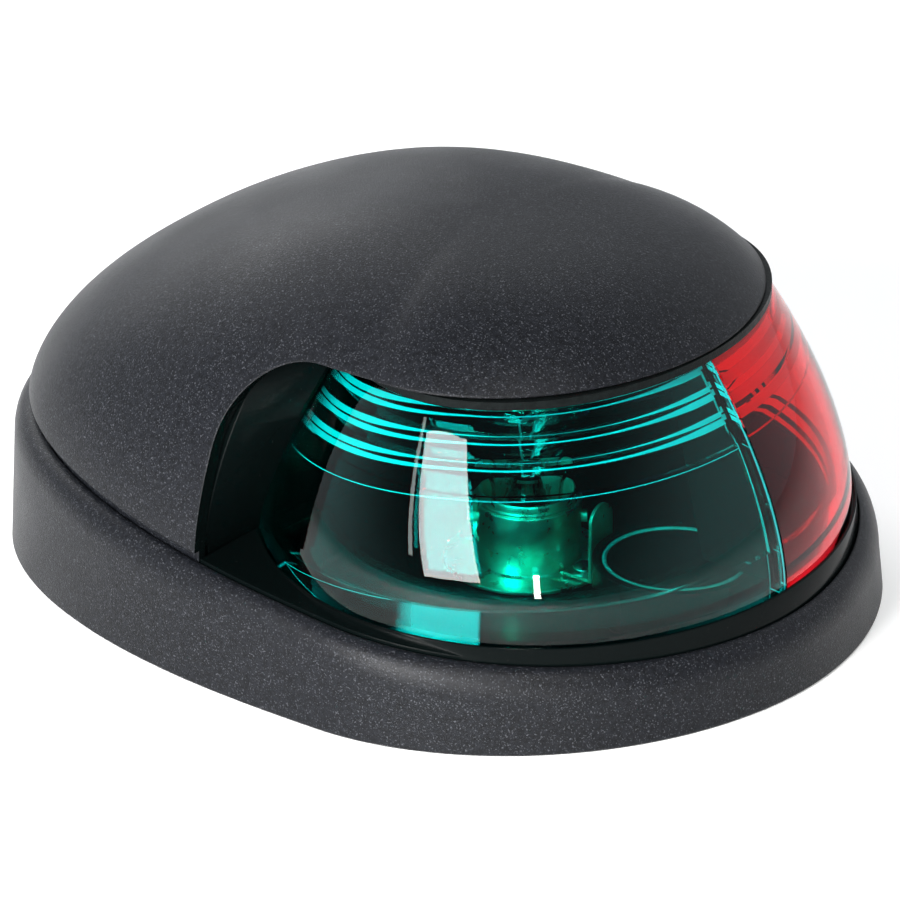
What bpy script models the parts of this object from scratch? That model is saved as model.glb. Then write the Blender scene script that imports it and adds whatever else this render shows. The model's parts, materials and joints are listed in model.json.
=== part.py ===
"""Deck-mounted bow navigation light: a green and a red lens under one domed cover.

The light stands on its flat underside. +X points to the bow, +Y to port, +Z up, in metres. The origin
is on the deck plane, in the middle of the light's length and width.
"""

import math

import bmesh
import bpy
from mathutils import Matrix, Vector

# Overall sizes.
LENGTH = 0.140
WIDTH = 0.114
CROWN_HEIGHT = 0.0632
WIDEST_X = 0.0183
BOW_POWER = 1.94
STERN_POWER = 2.45
GAP = 0.0003

# Base.
RIM_HEIGHT = 0.0177
RIM_SLOPE = 0.095
DRAFT = 0.0007
SHOULDER_RISE = 0.0050
RIM_INSET = 0.0038
FOOT_CHAMFER = 0.0004
FOOT_WIDTH = 0.0042
UNDERSIDE_DEPTH = 0.0030
FLOOR_THICKNESS = 0.0020
REBATE_DEPTH = 0.0023
REBATE_WIDTH = 0.0024
WALL_LEAN = 0.0002
FLOOR_TOP = UNDERSIDE_DEPTH + FLOOR_THICKNESS

# Gasket under the base.
GASKET_WIDTH = 0.0042

# Cover.
COVER_WALL = 0.0026
COVER_INSET = 0.0030
COVER_BOW_INSET = 0.0066
COVER_LIFT = 0.0017
CREST_SHIFT = -0.0093
STERN_FALL = 1.76
BOW_FALL = 4.38
STERN_ROUND = 1.43
BOW_ROUND = 1.62
VISOR_DROP = 0.0127
VISOR_HEIGHT = CROWN_HEIGHT - VISOR_DROP
OPENING_REAR_X = -0.0077
OPENING_RADIUS = 0.0140

# Lens pair.
LENS_WALL = 0.0022
LENS_CENTRE_X = 0.0214
LENS_BOW_SETBACK = 0.0057
LENS_SIDE_SETBACK = 0.0067
LENS_HALF_LENGTH = LENGTH / 2 - LENS_BOW_SETBACK - LENS_CENTRE_X
LENS_HALF_WIDTH = WIDTH / 2 - LENS_SIDE_SETBACK
LENS_LEAN = 0.0175
LENS_SIDE_SHARE = 0.846
LENS_LEAN_POWER = 1.65
LENS_RISE = 0.0356
LENS_SHIFT = 0.0016
LENS_SEAT_HEIGHT = 0.0179
LENS_SEAT_SLOPE = 0.055
LENS_GAP = 0.0003

# Lens frame and seal.
SILL_LIP = 0.0005
SILL_LIP_WIDTH = 0.0004
SILL_WIDTH = 0.0040
SCREEN_LEAN = 0.31
SCREEN_THICKNESS = 0.0016
SCREEN_SHOULDER = 0.0006
SCREEN_WING = 0.0120
SCREEN_BOTTOM = 0.0062
SCREEN_FOOT = 0.0035
SEAL_HEIGHT = 0.0013
SEAL_PROUD = 0.0004
SEAL_WIDTH = 0.0030

# Colour divider.
DIVIDER_THICKNESS = 0.0012
DIVIDER_TOP_SETBACK = 0.0290
DIVIDER_BOTTOM_SETBACK = 0.0210
DIVIDER_CLEARANCE = 0.0006

# Wire inlet.
GROMMET_X = -0.0290
GROMMET_RADIUS = 0.0056
GROMMET_LIP = 0.0020
GROMMET_LIP_HEIGHT = 0.0012
WIRE_RADIUS = 0.0031

# Bulb and bayonet socket.
BULB_X = 0.0158
CAP_RADIUS = 0.0075
CAP_WALL = 0.00035
CAP_BOTTOM = 0.0072
CAP_RIM = 0.0176
CAP_HOLE_RADIUS = 0.0050
CONTACT_BOTTOM = 0.0066
CONTACT_RADIUS = 0.0021
CONTACT_STEM_RADIUS = 0.0010
CONTACT_TIP_RADIUS = 0.0016
CAP_GLASS_THICKNESS = 0.00125
PIN_HEIGHT = 0.0127
PIN_RADIUS = 0.0010
PIN_PROUD = 0.0018
PIN_REACH = CAP_RADIUS + PIN_PROUD
PIN_ANGLE = math.radians(36.0)
GLOBE_RADIUS = 0.0092
GLOBE_HEIGHT = 0.0318
BULB_TOP = 0.0410
GLASS_WALL = 0.0006
GLOBE_LOWER_HEIGHT = 0.0097
GLOBE_SWEEP = math.radians(126.0)
NECK_FLARE = 0.0015
NECK_LIFT = 0.0012
FILAMENT_HEIGHT = 0.0310
FILAMENT_HALF_WIDTH = 0.0024
FILAMENT_WIRE = 0.00022
LEAD_HALF_SPREAD = 0.0011
COIL_TURNS = 6
COIL_RADIUS = 0.0006
COIL_ARCH = 0.0012
COIL_END_TAPER = 4.0
STEM_TOP = 0.0205
STEM_EDGE = 0.0004
STEM_TIP_RADIUS = 0.0021
STEM_WAIST_RADIUS = 0.0026
STEM_TIP_LENGTH = 0.0030
STEM_FLARE_LENGTH = 0.0085
STEM_LIFT = 0.0018
PRESS_TRAVEL = 0.0012
TURN_ANGLE = math.radians(20.0)

SOCKET_RIM = 0.0160
SOCKET_CLEARANCE = 0.0003
SOCKET_WALL = 0.0004
COLLAR_BOTTOM = 0.0098
COLLAR_THICKNESS = 0.0003
SOCKET_BOTTOM = 0.0008
SOCKET_LIP = 0.0018
FLANGE_SPREAD = 0.0055
FLANGE_RADIUS = CAP_RADIUS + FLANGE_SPREAD
FLANGE_THICKNESS = 0.0006
INSULATOR_THICKNESS = 0.0012
PLUNGER_HEAD_RADIUS = 0.0034
PLUNGER_HEAD_HEIGHT = 0.0008
PLUNGER_STEM_RADIUS = 0.0012
PLUNGER_STEM_LENGTH = 0.0034
SPRING_RADIUS = 0.0022
SPRING_WIRE = 0.00017
SPRING_TURNS = 3.5
RIVET_RADIUS = 0.0010
RIVET_HEAD_RADIUS = 0.0018
RIVET_HEAD_HEIGHT = 0.0006
RIVET_CROWN = 0.7
RIVET_SPREAD = 0.0035
RIVET_CIRCLE = CAP_RADIUS + RIVET_SPREAD

# Contact strips.
STRIP_THICKNESS = 0.0005
STRIP_WIDTH = 0.0056
TAB_SETBACK = 0.0027
TAB_X = BULB_X + RIVET_CIRCLE + TAB_SETBACK
TAB_HEIGHT = 0.0125
LEAD_STRIP_LENGTH = 0.0180
LEAD_STRIP_BOTTOM = 0.0002
LEAD_STRIP_THICKNESS = 0.0003

# Mounting points in the base.
FRONT_BOSS_TOP = 0.0136
PLUG_RADIUS = 0.0110
PLUG_THICKNESS = 0.0014
BOSS_WALL = 0.0012
BOSS_LEDGE = 0.0015
BOSS_FLOOR = 0.0015
BOSS_SPACE = 0.0010
FRONT_BOSS_X = TAB_X + STRIP_THICKNESS + BOSS_SPACE + PLUG_RADIUS + GAP + BOSS_WALL
REAR_BOSS_SETBACK = 0.0280
REAR_BOSS_SIDE_SETBACK = 0.0310
REAR_BOSS_X = REAR_BOSS_SETBACK - LENGTH / 2
REAR_BOSS_Y = WIDTH / 2 - REAR_BOSS_SIDE_SETBACK
REAR_BOSS_TOP = 0.0095
REAR_BOSS_RADIUS = 0.0058
SCREW_HOLE_RADIUS = 0.0023

# Fineness of the curved surfaces.
AROUND = 64
DOME_ROWS = 11
LENS_COLUMNS = 22
LENS_ROWS = 7
SHOULDER_STEPS = 5
CORNER_STEPS = 8
TURN_STEPS = 24
SMALL_TURN_STEPS = 16
GLOBE_STEPS = 12
COIL_POINTS_PER_TURN = 6
HEIGHT_PASSES = 4
SPRING_POINTS_PER_TURN = 10
WEB_STEPS = 10
CUT_MARGIN = 0.0200
SHARP_ANGLE = math.radians(32.0)

PARTS = "navigation_light"
CUTTERS = "navigation_light_cutters"


# ---------------------------------------------------------------- scene and object helpers


def clear_scene():
    """Remove the objects that a new scene starts with."""
    for obj in list(bpy.data.objects):
        bpy.data.objects.remove(obj, do_unlink=True)


def new_collection(name):
    """A collection linked to the scene."""
    collection = bpy.data.collections.new(name)
    bpy.context.scene.collection.children.link(collection)
    return collection


def material(name, colour, roughness, metallic=0.0, transmission=0.0):
    """A Principled material with one colour and one roughness."""
    made = bpy.data.materials.new(name)
    made.use_nodes = True
    shader = made.node_tree.nodes["Principled BSDF"]
    shader.inputs["Base Color"].default_value = (*colour, 1.0)
    shader.inputs["Roughness"].default_value = roughness
    shader.inputs["Metallic"].default_value = metallic
    shader.inputs["Transmission Weight"].default_value = transmission
    made.diffuse_color = (*colour, 1.0)
    return made


def add_object(name, data, finish, collection=PARTS):
    """Put mesh or curve data into the scene as one named object."""
    obj = bpy.data.objects.new(name, data)
    bpy.data.collections[collection].objects.link(obj)
    if finish is not None:
        data.materials.append(finish)
    if collection == CUTTERS:
        obj.hide_render = True
        obj.display_type = "WIRE"
    return obj


def finish_mesh(name, bm):
    """Turn a bmesh into a mesh whose faces point out, shaded smooth between sharp edges."""
    bmesh.ops.recalc_face_normals(bm, faces=bm.faces[:])
    mesh = bpy.data.meshes.new(name)
    bm.to_mesh(mesh)
    bm.free()
    mesh.shade_smooth()
    mesh.set_sharp_from_angle(angle=SHARP_ANGLE)
    return mesh


def loft(name, rings, finish, collection=PARTS, cyclic=False):
    """A solid through closed rings of equal count, capped at both ends or joined end to start."""
    bm = bmesh.new()
    rows = [[bm.verts.new(point) for point in ring] for ring in rings]
    count = len(rows[0])
    pairs = list(zip(rows, rows[1:]))
    if cyclic:
        pairs.append((rows[-1], rows[0]))
    else:
        bm.faces.new(rows[0])
        bm.faces.new(rows[-1])
    for lower, upper in pairs:
        for i in range(count):
            j = (i + 1) % count
            bm.faces.new((lower[i], lower[j], upper[j], upper[i]))
    return add_object(name, finish_mesh(name, bm), finish, collection)


def prism(name, outline, axis, low, high, finish=None, collection=PARTS):
    """An outline of two-number points pushed along an axis, from low to high."""
    order = {"X": (2, 0, 1), "Y": (0, 2, 1), "Z": (0, 1, 2)}[axis]
    rings = []
    for level in (low, high):
        rings.append([tuple((u, v, level)[k] for k in order) for u, v in outline])
    return loft(name, rings, finish, collection)


def block(name, low, high):
    """A box between two corners, for use in a Boolean."""
    bm = bmesh.new()
    low, high = Vector(low), Vector(high)
    size = high - low
    place = Matrix.Translation((low + high) / 2) @ Matrix.Diagonal((*size, 1.0))
    bmesh.ops.create_cube(bm, size=1.0, matrix=place)
    return add_object(name, finish_mesh(name, bm), None, CUTTERS)


def cylinder(name, radius, low, high, centre):
    """An upright cylinder between two heights, for use in a Boolean."""
    bm = bmesh.new()
    place = Matrix.Translation((centre[0], centre[1], (low + high) / 2))
    bmesh.ops.create_cone(
        bm,
        cap_ends=True,
        segments=TURN_STEPS,
        radius1=radius,
        radius2=radius,
        depth=high - low,
        matrix=place,
    )
    return add_object(name, finish_mesh(name, bm), None, CUTTERS)


def turned(name, profile, centre, finish, closed=False, steps=TURN_STEPS):
    """A turned piece: its (radius, height) profile runs down the outer side, turned about +Z."""
    bm = bmesh.new()
    points = [bm.verts.new((radius, 0.0, height)) for radius, height in profile]
    for start, end in zip(points, points[1:]):
        bm.edges.new((start, end))
    if closed:
        bm.edges.new((points[-1], points[0]))
    mesh = bpy.data.meshes.new(name)
    bm.to_mesh(mesh)
    bm.free()
    obj = add_object(name, mesh, finish)
    obj.location = (centre[0], centre[1], 0.0)
    spin = obj.modifiers.new("Turn", "SCREW")
    spin.axis = "Z"
    spin.steps = steps
    spin.render_steps = steps
    spin.use_merge_vertices = True
    spin.merge_threshold = 0.00001
    spin.use_smooth_shade = True
    return obj


def wire(name, points, radius, finish, resolution=2):
    """A round wire along a list of points, with filled ends."""
    curve = bpy.data.curves.new(name, "CURVE")
    curve.dimensions = "3D"
    curve.bevel_depth = radius
    curve.bevel_resolution = resolution
    curve.use_fill_caps = True
    spline = curve.splines.new("POLY")
    spline.points.add(len(points) - 1)
    for point, place in zip(spline.points, points):
        point.co = (*place, 1.0)
    return add_object(name, curve, finish)


def plate(name, outline, thickness, finish):
    """A flat outline in X and Y with half its thickness on each side."""
    curve = bpy.data.curves.new(name, "CURVE")
    curve.dimensions = "2D"
    curve.fill_mode = "BOTH"
    curve.extrude = thickness / 2
    spline = curve.splines.new("POLY")
    spline.points.add(len(outline) - 1)
    spline.use_cyclic_u = True
    for point, (x, y) in zip(spline.points, outline):
        point.co = (x, y, 0.0, 1.0)
    return add_object(name, curve, finish)


def combine(target, other, operation, name):
    """Add an exact Boolean of target with other."""
    step = target.modifiers.new(name, "BOOLEAN")
    step.operation = operation
    step.solver = "EXACT"
    step.object = other


# ---------------------------------------------------------------- shared outlines and surfaces


def signed_power(value, power):
    """A power that keeps the sign of its base."""
    return math.copysign(abs(value) ** power, value)


def rim_height(x):
    """Height of the base's rim, which falls towards the bow."""
    return RIM_HEIGHT - RIM_SLOPE * x


def plan_point(angle, inset):
    """A point of the light's plan outline, moved inwards by inset."""
    forward = math.cos(angle) > 0
    reach = LENGTH / 2 - WIDEST_X if forward else LENGTH / 2 + WIDEST_X
    power = 2 / (BOW_POWER if forward else STERN_POWER)
    x = WIDEST_X + (reach - inset) * signed_power(math.cos(angle), power)
    y = (WIDTH / 2 - inset) * signed_power(math.sin(angle), power)
    return x, y


def plan_end_angle(x, inset):
    """The angle at which the plan outline, aft of its widest place, crosses x."""
    share = (WIDEST_X - x) / (LENGTH / 2 + WIDEST_X - inset)
    return math.pi - math.acos(share ** (STERN_POWER / 2))


def ring_angles():
    """Angles all the way round, starting at the bow."""
    return [2 * math.pi * i / AROUND for i in range(AROUND)]


def flat_ring(inset, height):
    """The plan outline at one height."""
    return [(*plan_point(angle, inset), height) for angle in ring_angles()]


def rim_ring(inset, offset):
    """The plan outline at a distance above the sloping rim."""
    ring = []
    for angle in ring_angles():
        x, y = plan_point(angle, inset)
        ring.append((x, y, rim_height(x) + offset))
    return ring


def dome_point(angle, reach, inward):
    """A point of the cover's surface. Reach runs from 0 at the crest to 1 at the bottom edge."""
    forward = (1 + math.cos(angle)) / 2
    fall = STERN_FALL + (BOW_FALL - STERN_FALL) * forward
    roundness = STERN_ROUND + (BOW_ROUND - STERN_ROUND) * forward
    ahead = math.cos(angle) > 0
    if ahead:
        half_length = LENGTH / 2 - WIDEST_X - COVER_BOW_INSET
    else:
        half_length = LENGTH / 2 + WIDEST_X - COVER_INSET
    half_width = WIDTH / 2 - COVER_INSET
    power = 2 / (BOW_POWER if ahead else STERN_POWER)
    x = (half_length - inward) * reach * signed_power(math.cos(angle), power)
    x += WIDEST_X + CREST_SHIFT * (1 - reach)
    y = (half_width - inward) * reach * signed_power(math.sin(angle), power)
    crest_rim = rim_height(WIDEST_X + CREST_SHIFT)
    rise = CROWN_HEIGHT - crest_rim - COVER_LIFT - inward
    z = rim_height(x) + COVER_LIFT + rise * (1 - reach**fall) ** (1 / roundness)
    return x, y, z


def dome_rings(inward):
    """Rings of the cover's surface, from the bottom edge up to a small ring at the crest."""
    rings = []
    for row in range(DOME_ROWS):
        reach = math.cos(math.pi / 2 * row / DOME_ROWS)
        rings.append([dome_point(angle, reach, inward) for angle in ring_angles()])
    return rings


def lens_seat(x):
    """Height of the lens's lower edge."""
    return LENS_SEAT_HEIGHT - LENS_SEAT_SLOPE * x


def lens_top():
    """Height of the lens's upper edge, under its seal."""
    return VISOR_HEIGHT - GAP - SEAL_HEIGHT - GAP


def lens_point(share, rise, inward, rear_gap=0.0):
    """A point of the lens surface. Share runs from -1 to 1 between its rear edges, rise from 0 to 1."""
    height = rise * (lens_top() - lens_seat(LENS_CENTRE_X))
    for _ in range(HEIGHT_PASSES):
        inset = LENS_LEAN * (height / LENS_RISE) ** LENS_LEAN_POWER
        half_length = LENS_HALF_LENGTH - inset - inward
        half_width = LENS_HALF_WIDTH - inset * LENS_SIDE_SHARE - inward
        centre = LENS_CENTRE_X + LENS_SHIFT * height / LENS_RISE
        rear_x = OPENING_REAR_X + rear_gap + SCREEN_LEAN * height
        end = math.acos((rear_x - centre) / half_length)
        x = centre + half_length * math.cos(end * share)
        y = half_width * math.sin(end * share)
        height = rise * (lens_top() - lens_seat(x))
    return x, y, lens_seat(x) + height


# ---------------------------------------------------------------- base group


def make_base(finish):
    """The moulded base: sloping wall with a round shoulder, floor, bosses and holes."""
    rings = [
        flat_ring(FOOT_WIDTH + FOOT_CHAMFER, UNDERSIDE_DEPTH),
        flat_ring(FOOT_WIDTH, 0.0),
        flat_ring(FOOT_CHAMFER, 0.0),
        flat_ring(0.0, FOOT_CHAMFER),
    ]
    for step in range(SHOULDER_STEPS + 1):
        turn = math.pi / 2 * step / SHOULDER_STEPS
        inset = DRAFT + (RIM_INSET - DRAFT) * (1 - math.cos(turn))
        rings.append(rim_ring(inset, SHOULDER_RISE * (math.sin(turn) - 1)))
    inner = RIM_INSET + REBATE_WIDTH
    rings.append(rim_ring(RIM_INSET, -REBATE_DEPTH))
    rings.append(rim_ring(inner, -REBATE_DEPTH))
    rings.append(flat_ring(inner + WALL_LEAN, FLOOR_TOP))
    base = loft("base", rings, finish)

    boss_radius = PLUG_RADIUS + GAP + BOSS_WALL
    front = cylinder(
        "front_boss", boss_radius, UNDERSIDE_DEPTH + GAP, FRONT_BOSS_TOP, (FRONT_BOSS_X, 0.0)
    )
    combine(base, front, "UNION", "front boss")
    for side, label in ((-1, "starboard"), (1, "port")):
        centre = (REAR_BOSS_X, side * REAR_BOSS_Y)
        boss = cylinder(
            f"rear_boss_{label}",
            REAR_BOSS_RADIUS,
            UNDERSIDE_DEPTH + GAP,
            REAR_BOSS_TOP,
            centre,
        )
        combine(base, boss, "UNION", f"rear boss {label}")

    plug_seat = FRONT_BOSS_TOP - PLUG_THICKNESS - GAP
    pocket = cylinder(
        "plug_seat", PLUG_RADIUS + GAP, plug_seat, FRONT_BOSS_TOP + CUT_MARGIN, (FRONT_BOSS_X, 0.0)
    )
    combine(base, pocket, "DIFFERENCE", "plug seat")
    well = cylinder(
        "boss_well",
        PLUG_RADIUS - BOSS_LEDGE,
        FLOOR_TOP + BOSS_FLOOR,
        FRONT_BOSS_TOP + CUT_MARGIN,
        (FRONT_BOSS_X, 0.0),
    )
    combine(base, well, "DIFFERENCE", "boss well")
    holes = [
        ("front_screw_hole", SCREW_HOLE_RADIUS, (FRONT_BOSS_X, 0.0)),
        ("rear_screw_hole_starboard", SCREW_HOLE_RADIUS, (REAR_BOSS_X, -REAR_BOSS_Y)),
        ("rear_screw_hole_port", SCREW_HOLE_RADIUS, (REAR_BOSS_X, REAR_BOSS_Y)),
        ("grommet_hole", GROMMET_RADIUS, (GROMMET_X, 0.0)),
        ("socket_hole", socket_outer_radius() + GAP, (BULB_X, 0.0)),
    ]
    for label, centre in rivet_places():
        holes.append((f"socket_rivet_hole_{label}", RIVET_RADIUS + GAP, centre))
    for name, radius, centre in holes:
        bore = cylinder(name, radius, -CUT_MARGIN, CROWN_HEIGHT, centre)
        combine(base, bore, "DIFFERENCE", name)
    return base


def make_deck_gasket(finish):
    """The foam ring between the base and the deck, inside the base's foot."""
    outer = FOOT_WIDTH + FOOT_CHAMFER + GAP
    inner = outer + GASKET_WIDTH
    top = UNDERSIDE_DEPTH - GAP
    rings = [
        flat_ring(outer, 0.0),
        flat_ring(outer, top),
        flat_ring(inner, top),
        flat_ring(inner, 0.0),
    ]
    return loft("deck_gasket", rings, finish, cyclic=True)


def make_screw_plug(finish):
    """The round plug over the front fixing screw."""
    edge = PLUG_THICKNESS / 4
    profile = [
        (0.0, FRONT_BOSS_TOP),
        (PLUG_RADIUS - edge, FRONT_BOSS_TOP),
        (PLUG_RADIUS, FRONT_BOSS_TOP - edge),
        (PLUG_RADIUS, FRONT_BOSS_TOP - PLUG_THICKNESS),
        (0.0, FRONT_BOSS_TOP - PLUG_THICKNESS),
    ]
    return turned("screw_plug", profile, (FRONT_BOSS_X, 0.0), finish)


def make_wire_grommet(finish):
    """The rubber bush that brings the supply wires through the floor."""
    neck = GROMMET_RADIUS - GAP
    lip = GROMMET_RADIUS + GROMMET_LIP
    top = FLOOR_TOP + GAP
    bottom = UNDERSIDE_DEPTH - GAP
    profile = [
        (WIRE_RADIUS, top + GROMMET_LIP_HEIGHT),
        (lip - GAP, top + GROMMET_LIP_HEIGHT),
        (lip, top),
        (neck, top),
        (neck, bottom),
        (lip, bottom),
        (lip - GAP, bottom - GROMMET_LIP_HEIGHT),
        (WIRE_RADIUS, bottom - GROMMET_LIP_HEIGHT),
    ]
    return turned("wire_grommet", profile, (GROMMET_X, 0.0), finish, closed=True)


# ---------------------------------------------------------------- cover


def opening_outline(offset):
    """Side view of the opening for the lens, as X and Z points, grown forwards and down by offset."""
    rear = OPENING_REAR_X + offset
    top = VISOR_HEIGHT - offset
    radius = OPENING_RADIUS
    far = LENGTH / 2 + CUT_MARGIN
    outline = [(far, -CUT_MARGIN), (far, top)]
    for step in range(CORNER_STEPS + 1):
        turn = math.pi / 2 * step / CORNER_STEPS
        x = rear + radius * (1 - math.sin(turn))
        z = top - radius * (1 - math.cos(turn))
        outline.append((x, z))
    outline.append((rear, -CUT_MARGIN))
    return outline


def make_cover(finish):
    """The domed cover with its locating skirt, open at the front for the lens."""
    skirt = RIM_INSET + GAP
    skirt_inner = COVER_INSET + COVER_WALL
    depth = REBATE_DEPTH - GAP
    outside = dome_rings(0.0)
    inside = dome_rings(COVER_WALL)
    rings = list(reversed(outside))
    rings.append(rim_ring(skirt, COVER_LIFT))
    rings.append(rim_ring(skirt, -depth))
    rings.append(rim_ring(skirt_inner, -depth))
    rings.extend(inside)
    cover = loft("cover", rings, finish)
    opening = prism(
        "lens_opening", opening_outline(0.0), "Y", -WIDTH, WIDTH, collection=CUTTERS
    )
    combine(cover, opening, "DIFFERENCE", "lens opening")
    return cover


# ---------------------------------------------------------------- lens group


def make_lens(name, side, finish):
    """One coloured half of the lens, a thin shell from the bow seam to the rear screen."""

    def grid(inward):
        rows = []
        for row in range(LENS_ROWS + 1):
            line = []
            for column in range(LENS_COLUMNS + 1):
                x, y, z = lens_point(column / LENS_COLUMNS, row / LENS_ROWS, inward)
                line.append((x, side * max(y, LENS_GAP / 2), z))
            rows.append(line)
        return rows

    outer, inner = grid(0.0), grid(LENS_WALL)
    rings = []
    for column in range(LENS_COLUMNS + 1):
        section = [outer[row][column] for row in range(LENS_ROWS + 1)]
        section += [inner[row][column] for row in reversed(range(LENS_ROWS + 1))]
        rings.append(section)
    return loft(name, rings, finish)


def lens_band(name, section, finish):
    """A strip that follows the lens from one rear edge round the bow to the other."""
    rings = []
    for column in range(-LENS_COLUMNS, LENS_COLUMNS + 1):
        rings.append(section(column / LENS_COLUMNS))
    return loft(name, rings, finish)


def screen_section(x, y, z):
    """The rear screen at one height: straight between the lenses, then back to the cover's wall."""
    middle = x - GAP
    wing = min(middle, OPENING_REAR_X - GAP)
    half = y + SCREEN_SHOULDER
    front = [
        (wing, -WIDTH),
        (wing, -half - SCREEN_WING),
        (middle, -half),
        (middle, half),
        (wing, half + SCREEN_WING),
        (wing, WIDTH),
    ]
    back = [(px - SCREEN_THICKNESS, py) for px, py in reversed(front)]
    return [(px, py, z) for px, py in front + back]


def make_lens_frame(finish):
    """The glossy frame that carries both lenses: a sill round the front and a screen behind them."""
    rear_x = OPENING_REAR_X + GAP
    outer_inset = RIM_INSET + GAP
    depth = REBATE_DEPTH - GAP

    def section(share):
        x, y = plan_point(plan_end_angle(rear_x, outer_inset) * share, outer_inset)
        foot = rim_height(x)
        points = [(x, y, foot - depth), (x, y, foot + SILL_LIP)]
        for outward, offset in (
            (GAP + SILL_LIP_WIDTH, SILL_LIP),
            (GAP, SILL_LIP),
            (GAP, -GAP),
            (-SILL_WIDTH, -GAP),
        ):
            px, py, pz = lens_point(share, 0.0, -outward, GAP)
            points.append((px, py, pz + offset))
        px, py, _ = lens_point(share, 0.0, SILL_WIDTH, GAP)
        points.append((px, py, rim_height(px) - depth))
        return points

    frame = lens_band("lens_frame", section, finish)

    room = [
        flat_ring(RIM_INSET + REBATE_WIDTH + 2 * GAP, SCREEN_BOTTOM),
        rim_ring(RIM_INSET + REBATE_WIDTH + 2 * GAP, COVER_LIFT),
    ]
    room += dome_rings(COVER_WALL + GAP)
    chamber = loft("chamber", room, None, CUTTERS)
    edges = [lens_point(1.0, row / LENS_ROWS, 0.0) for row in range(LENS_ROWS + 1)]
    x, y, z = edges[0]
    edges.insert(0, (x, y, SCREEN_BOTTOM - GAP))
    x, y, z = edges[-1]
    above = VISOR_HEIGHT - 2 * GAP - z
    edges.append((x + SCREEN_LEAN * above, y, z + above))
    screen = loft("screen", [screen_section(*edge) for edge in edges], None, CUTTERS)
    combine(screen, chamber, "INTERSECT", "within the cover")
    screen_front = OPENING_REAR_X - GAP
    foot_y = plan_point(plan_end_angle(rear_x, outer_inset), outer_inset)[1] - SILL_WIDTH
    foot_z = rim_height(rear_x)
    foot = block(
        "screen_foot",
        (screen_front - SCREEN_THICKNESS / 2, -foot_y, foot_z - depth + GAP),
        (screen_front + SCREEN_FOOT, foot_y, foot_z - GAP),
    )
    combine(frame, screen, "UNION", "rear screen")
    combine(frame, foot, "UNION", "screen foot")
    return frame


def make_lens_seal(finish):
    """The black seal between the lenses' upper edge and the cover's visor."""
    bottom = lens_top() + GAP
    top = bottom + SEAL_HEIGHT

    def section(share):
        outer = lens_point(share, 1.0, -SEAL_PROUD, SEAL_HEIGHT)
        inner = lens_point(share, 1.0, SEAL_WIDTH, SEAL_HEIGHT)
        return [
            (outer[0], outer[1], bottom),
            (outer[0], outer[1], top),
            (inner[0], inner[1], top),
            (inner[0], inner[1], bottom),
        ]

    return lens_band("lens_seal", section, finish)


def make_colour_divider(finish):
    """The thin web between the colours, which stops green light leaving through the red lens."""
    inward = LENS_WALL + DIVIDER_CLEARANCE
    outline = []
    for step in range(WEB_STEPS + 1):
        x, _, z = lens_point(0.0, step / WEB_STEPS, inward)
        outline.append((x, z + (DIVIDER_CLEARANCE if step == 0 else 0.0)))
    low = outline[0][1]
    outline.append((LENGTH / 2 - DIVIDER_TOP_SETBACK, lens_top()))
    outline.append((LENGTH / 2 - DIVIDER_BOTTOM_SETBACK, low))
    divider = plate("colour_divider", outline, DIVIDER_THICKNESS, finish)
    divider.rotation_euler = (math.pi / 2, 0.0, 0.0)
    return divider


# ---------------------------------------------------------------- socket group


def socket_inner_radius():
    """Bore of the socket, which lets the bulb's cap slide and turn."""
    return CAP_RADIUS + SOCKET_CLEARANCE


def socket_outer_radius():
    """Outside of the socket below its collar."""
    return socket_inner_radius() + SOCKET_WALL


def insulator_bottom():
    """Underside of the insulating disc, resting on the socket's inward lip."""
    return SOCKET_BOTTOM + SOCKET_WALL + GAP


def plunger_top():
    """Top of the contact plunger, under the bulb's end contact."""
    return CONTACT_BOTTOM - GAP


def sector(name, low_angle, high_angle, low, high):
    """A curved block across the socket's wall, between two angles and two heights."""
    inner = socket_inner_radius() - SOCKET_WALL
    outer = socket_outer_radius() + COLLAR_THICKNESS + SOCKET_WALL
    rings = []
    for step in range(CORNER_STEPS + 1):
        angle = low_angle + (high_angle - low_angle) * step / CORNER_STEPS
        across = (math.cos(angle), math.sin(angle))
        ring = []
        for radius, height in ((inner, low), (outer, low), (outer, high), (inner, high)):
            ring.append((BULB_X + radius * across[0], radius * across[1], height))
        rings.append(ring)
    return loft(name, rings, None, CUTTERS)


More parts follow.
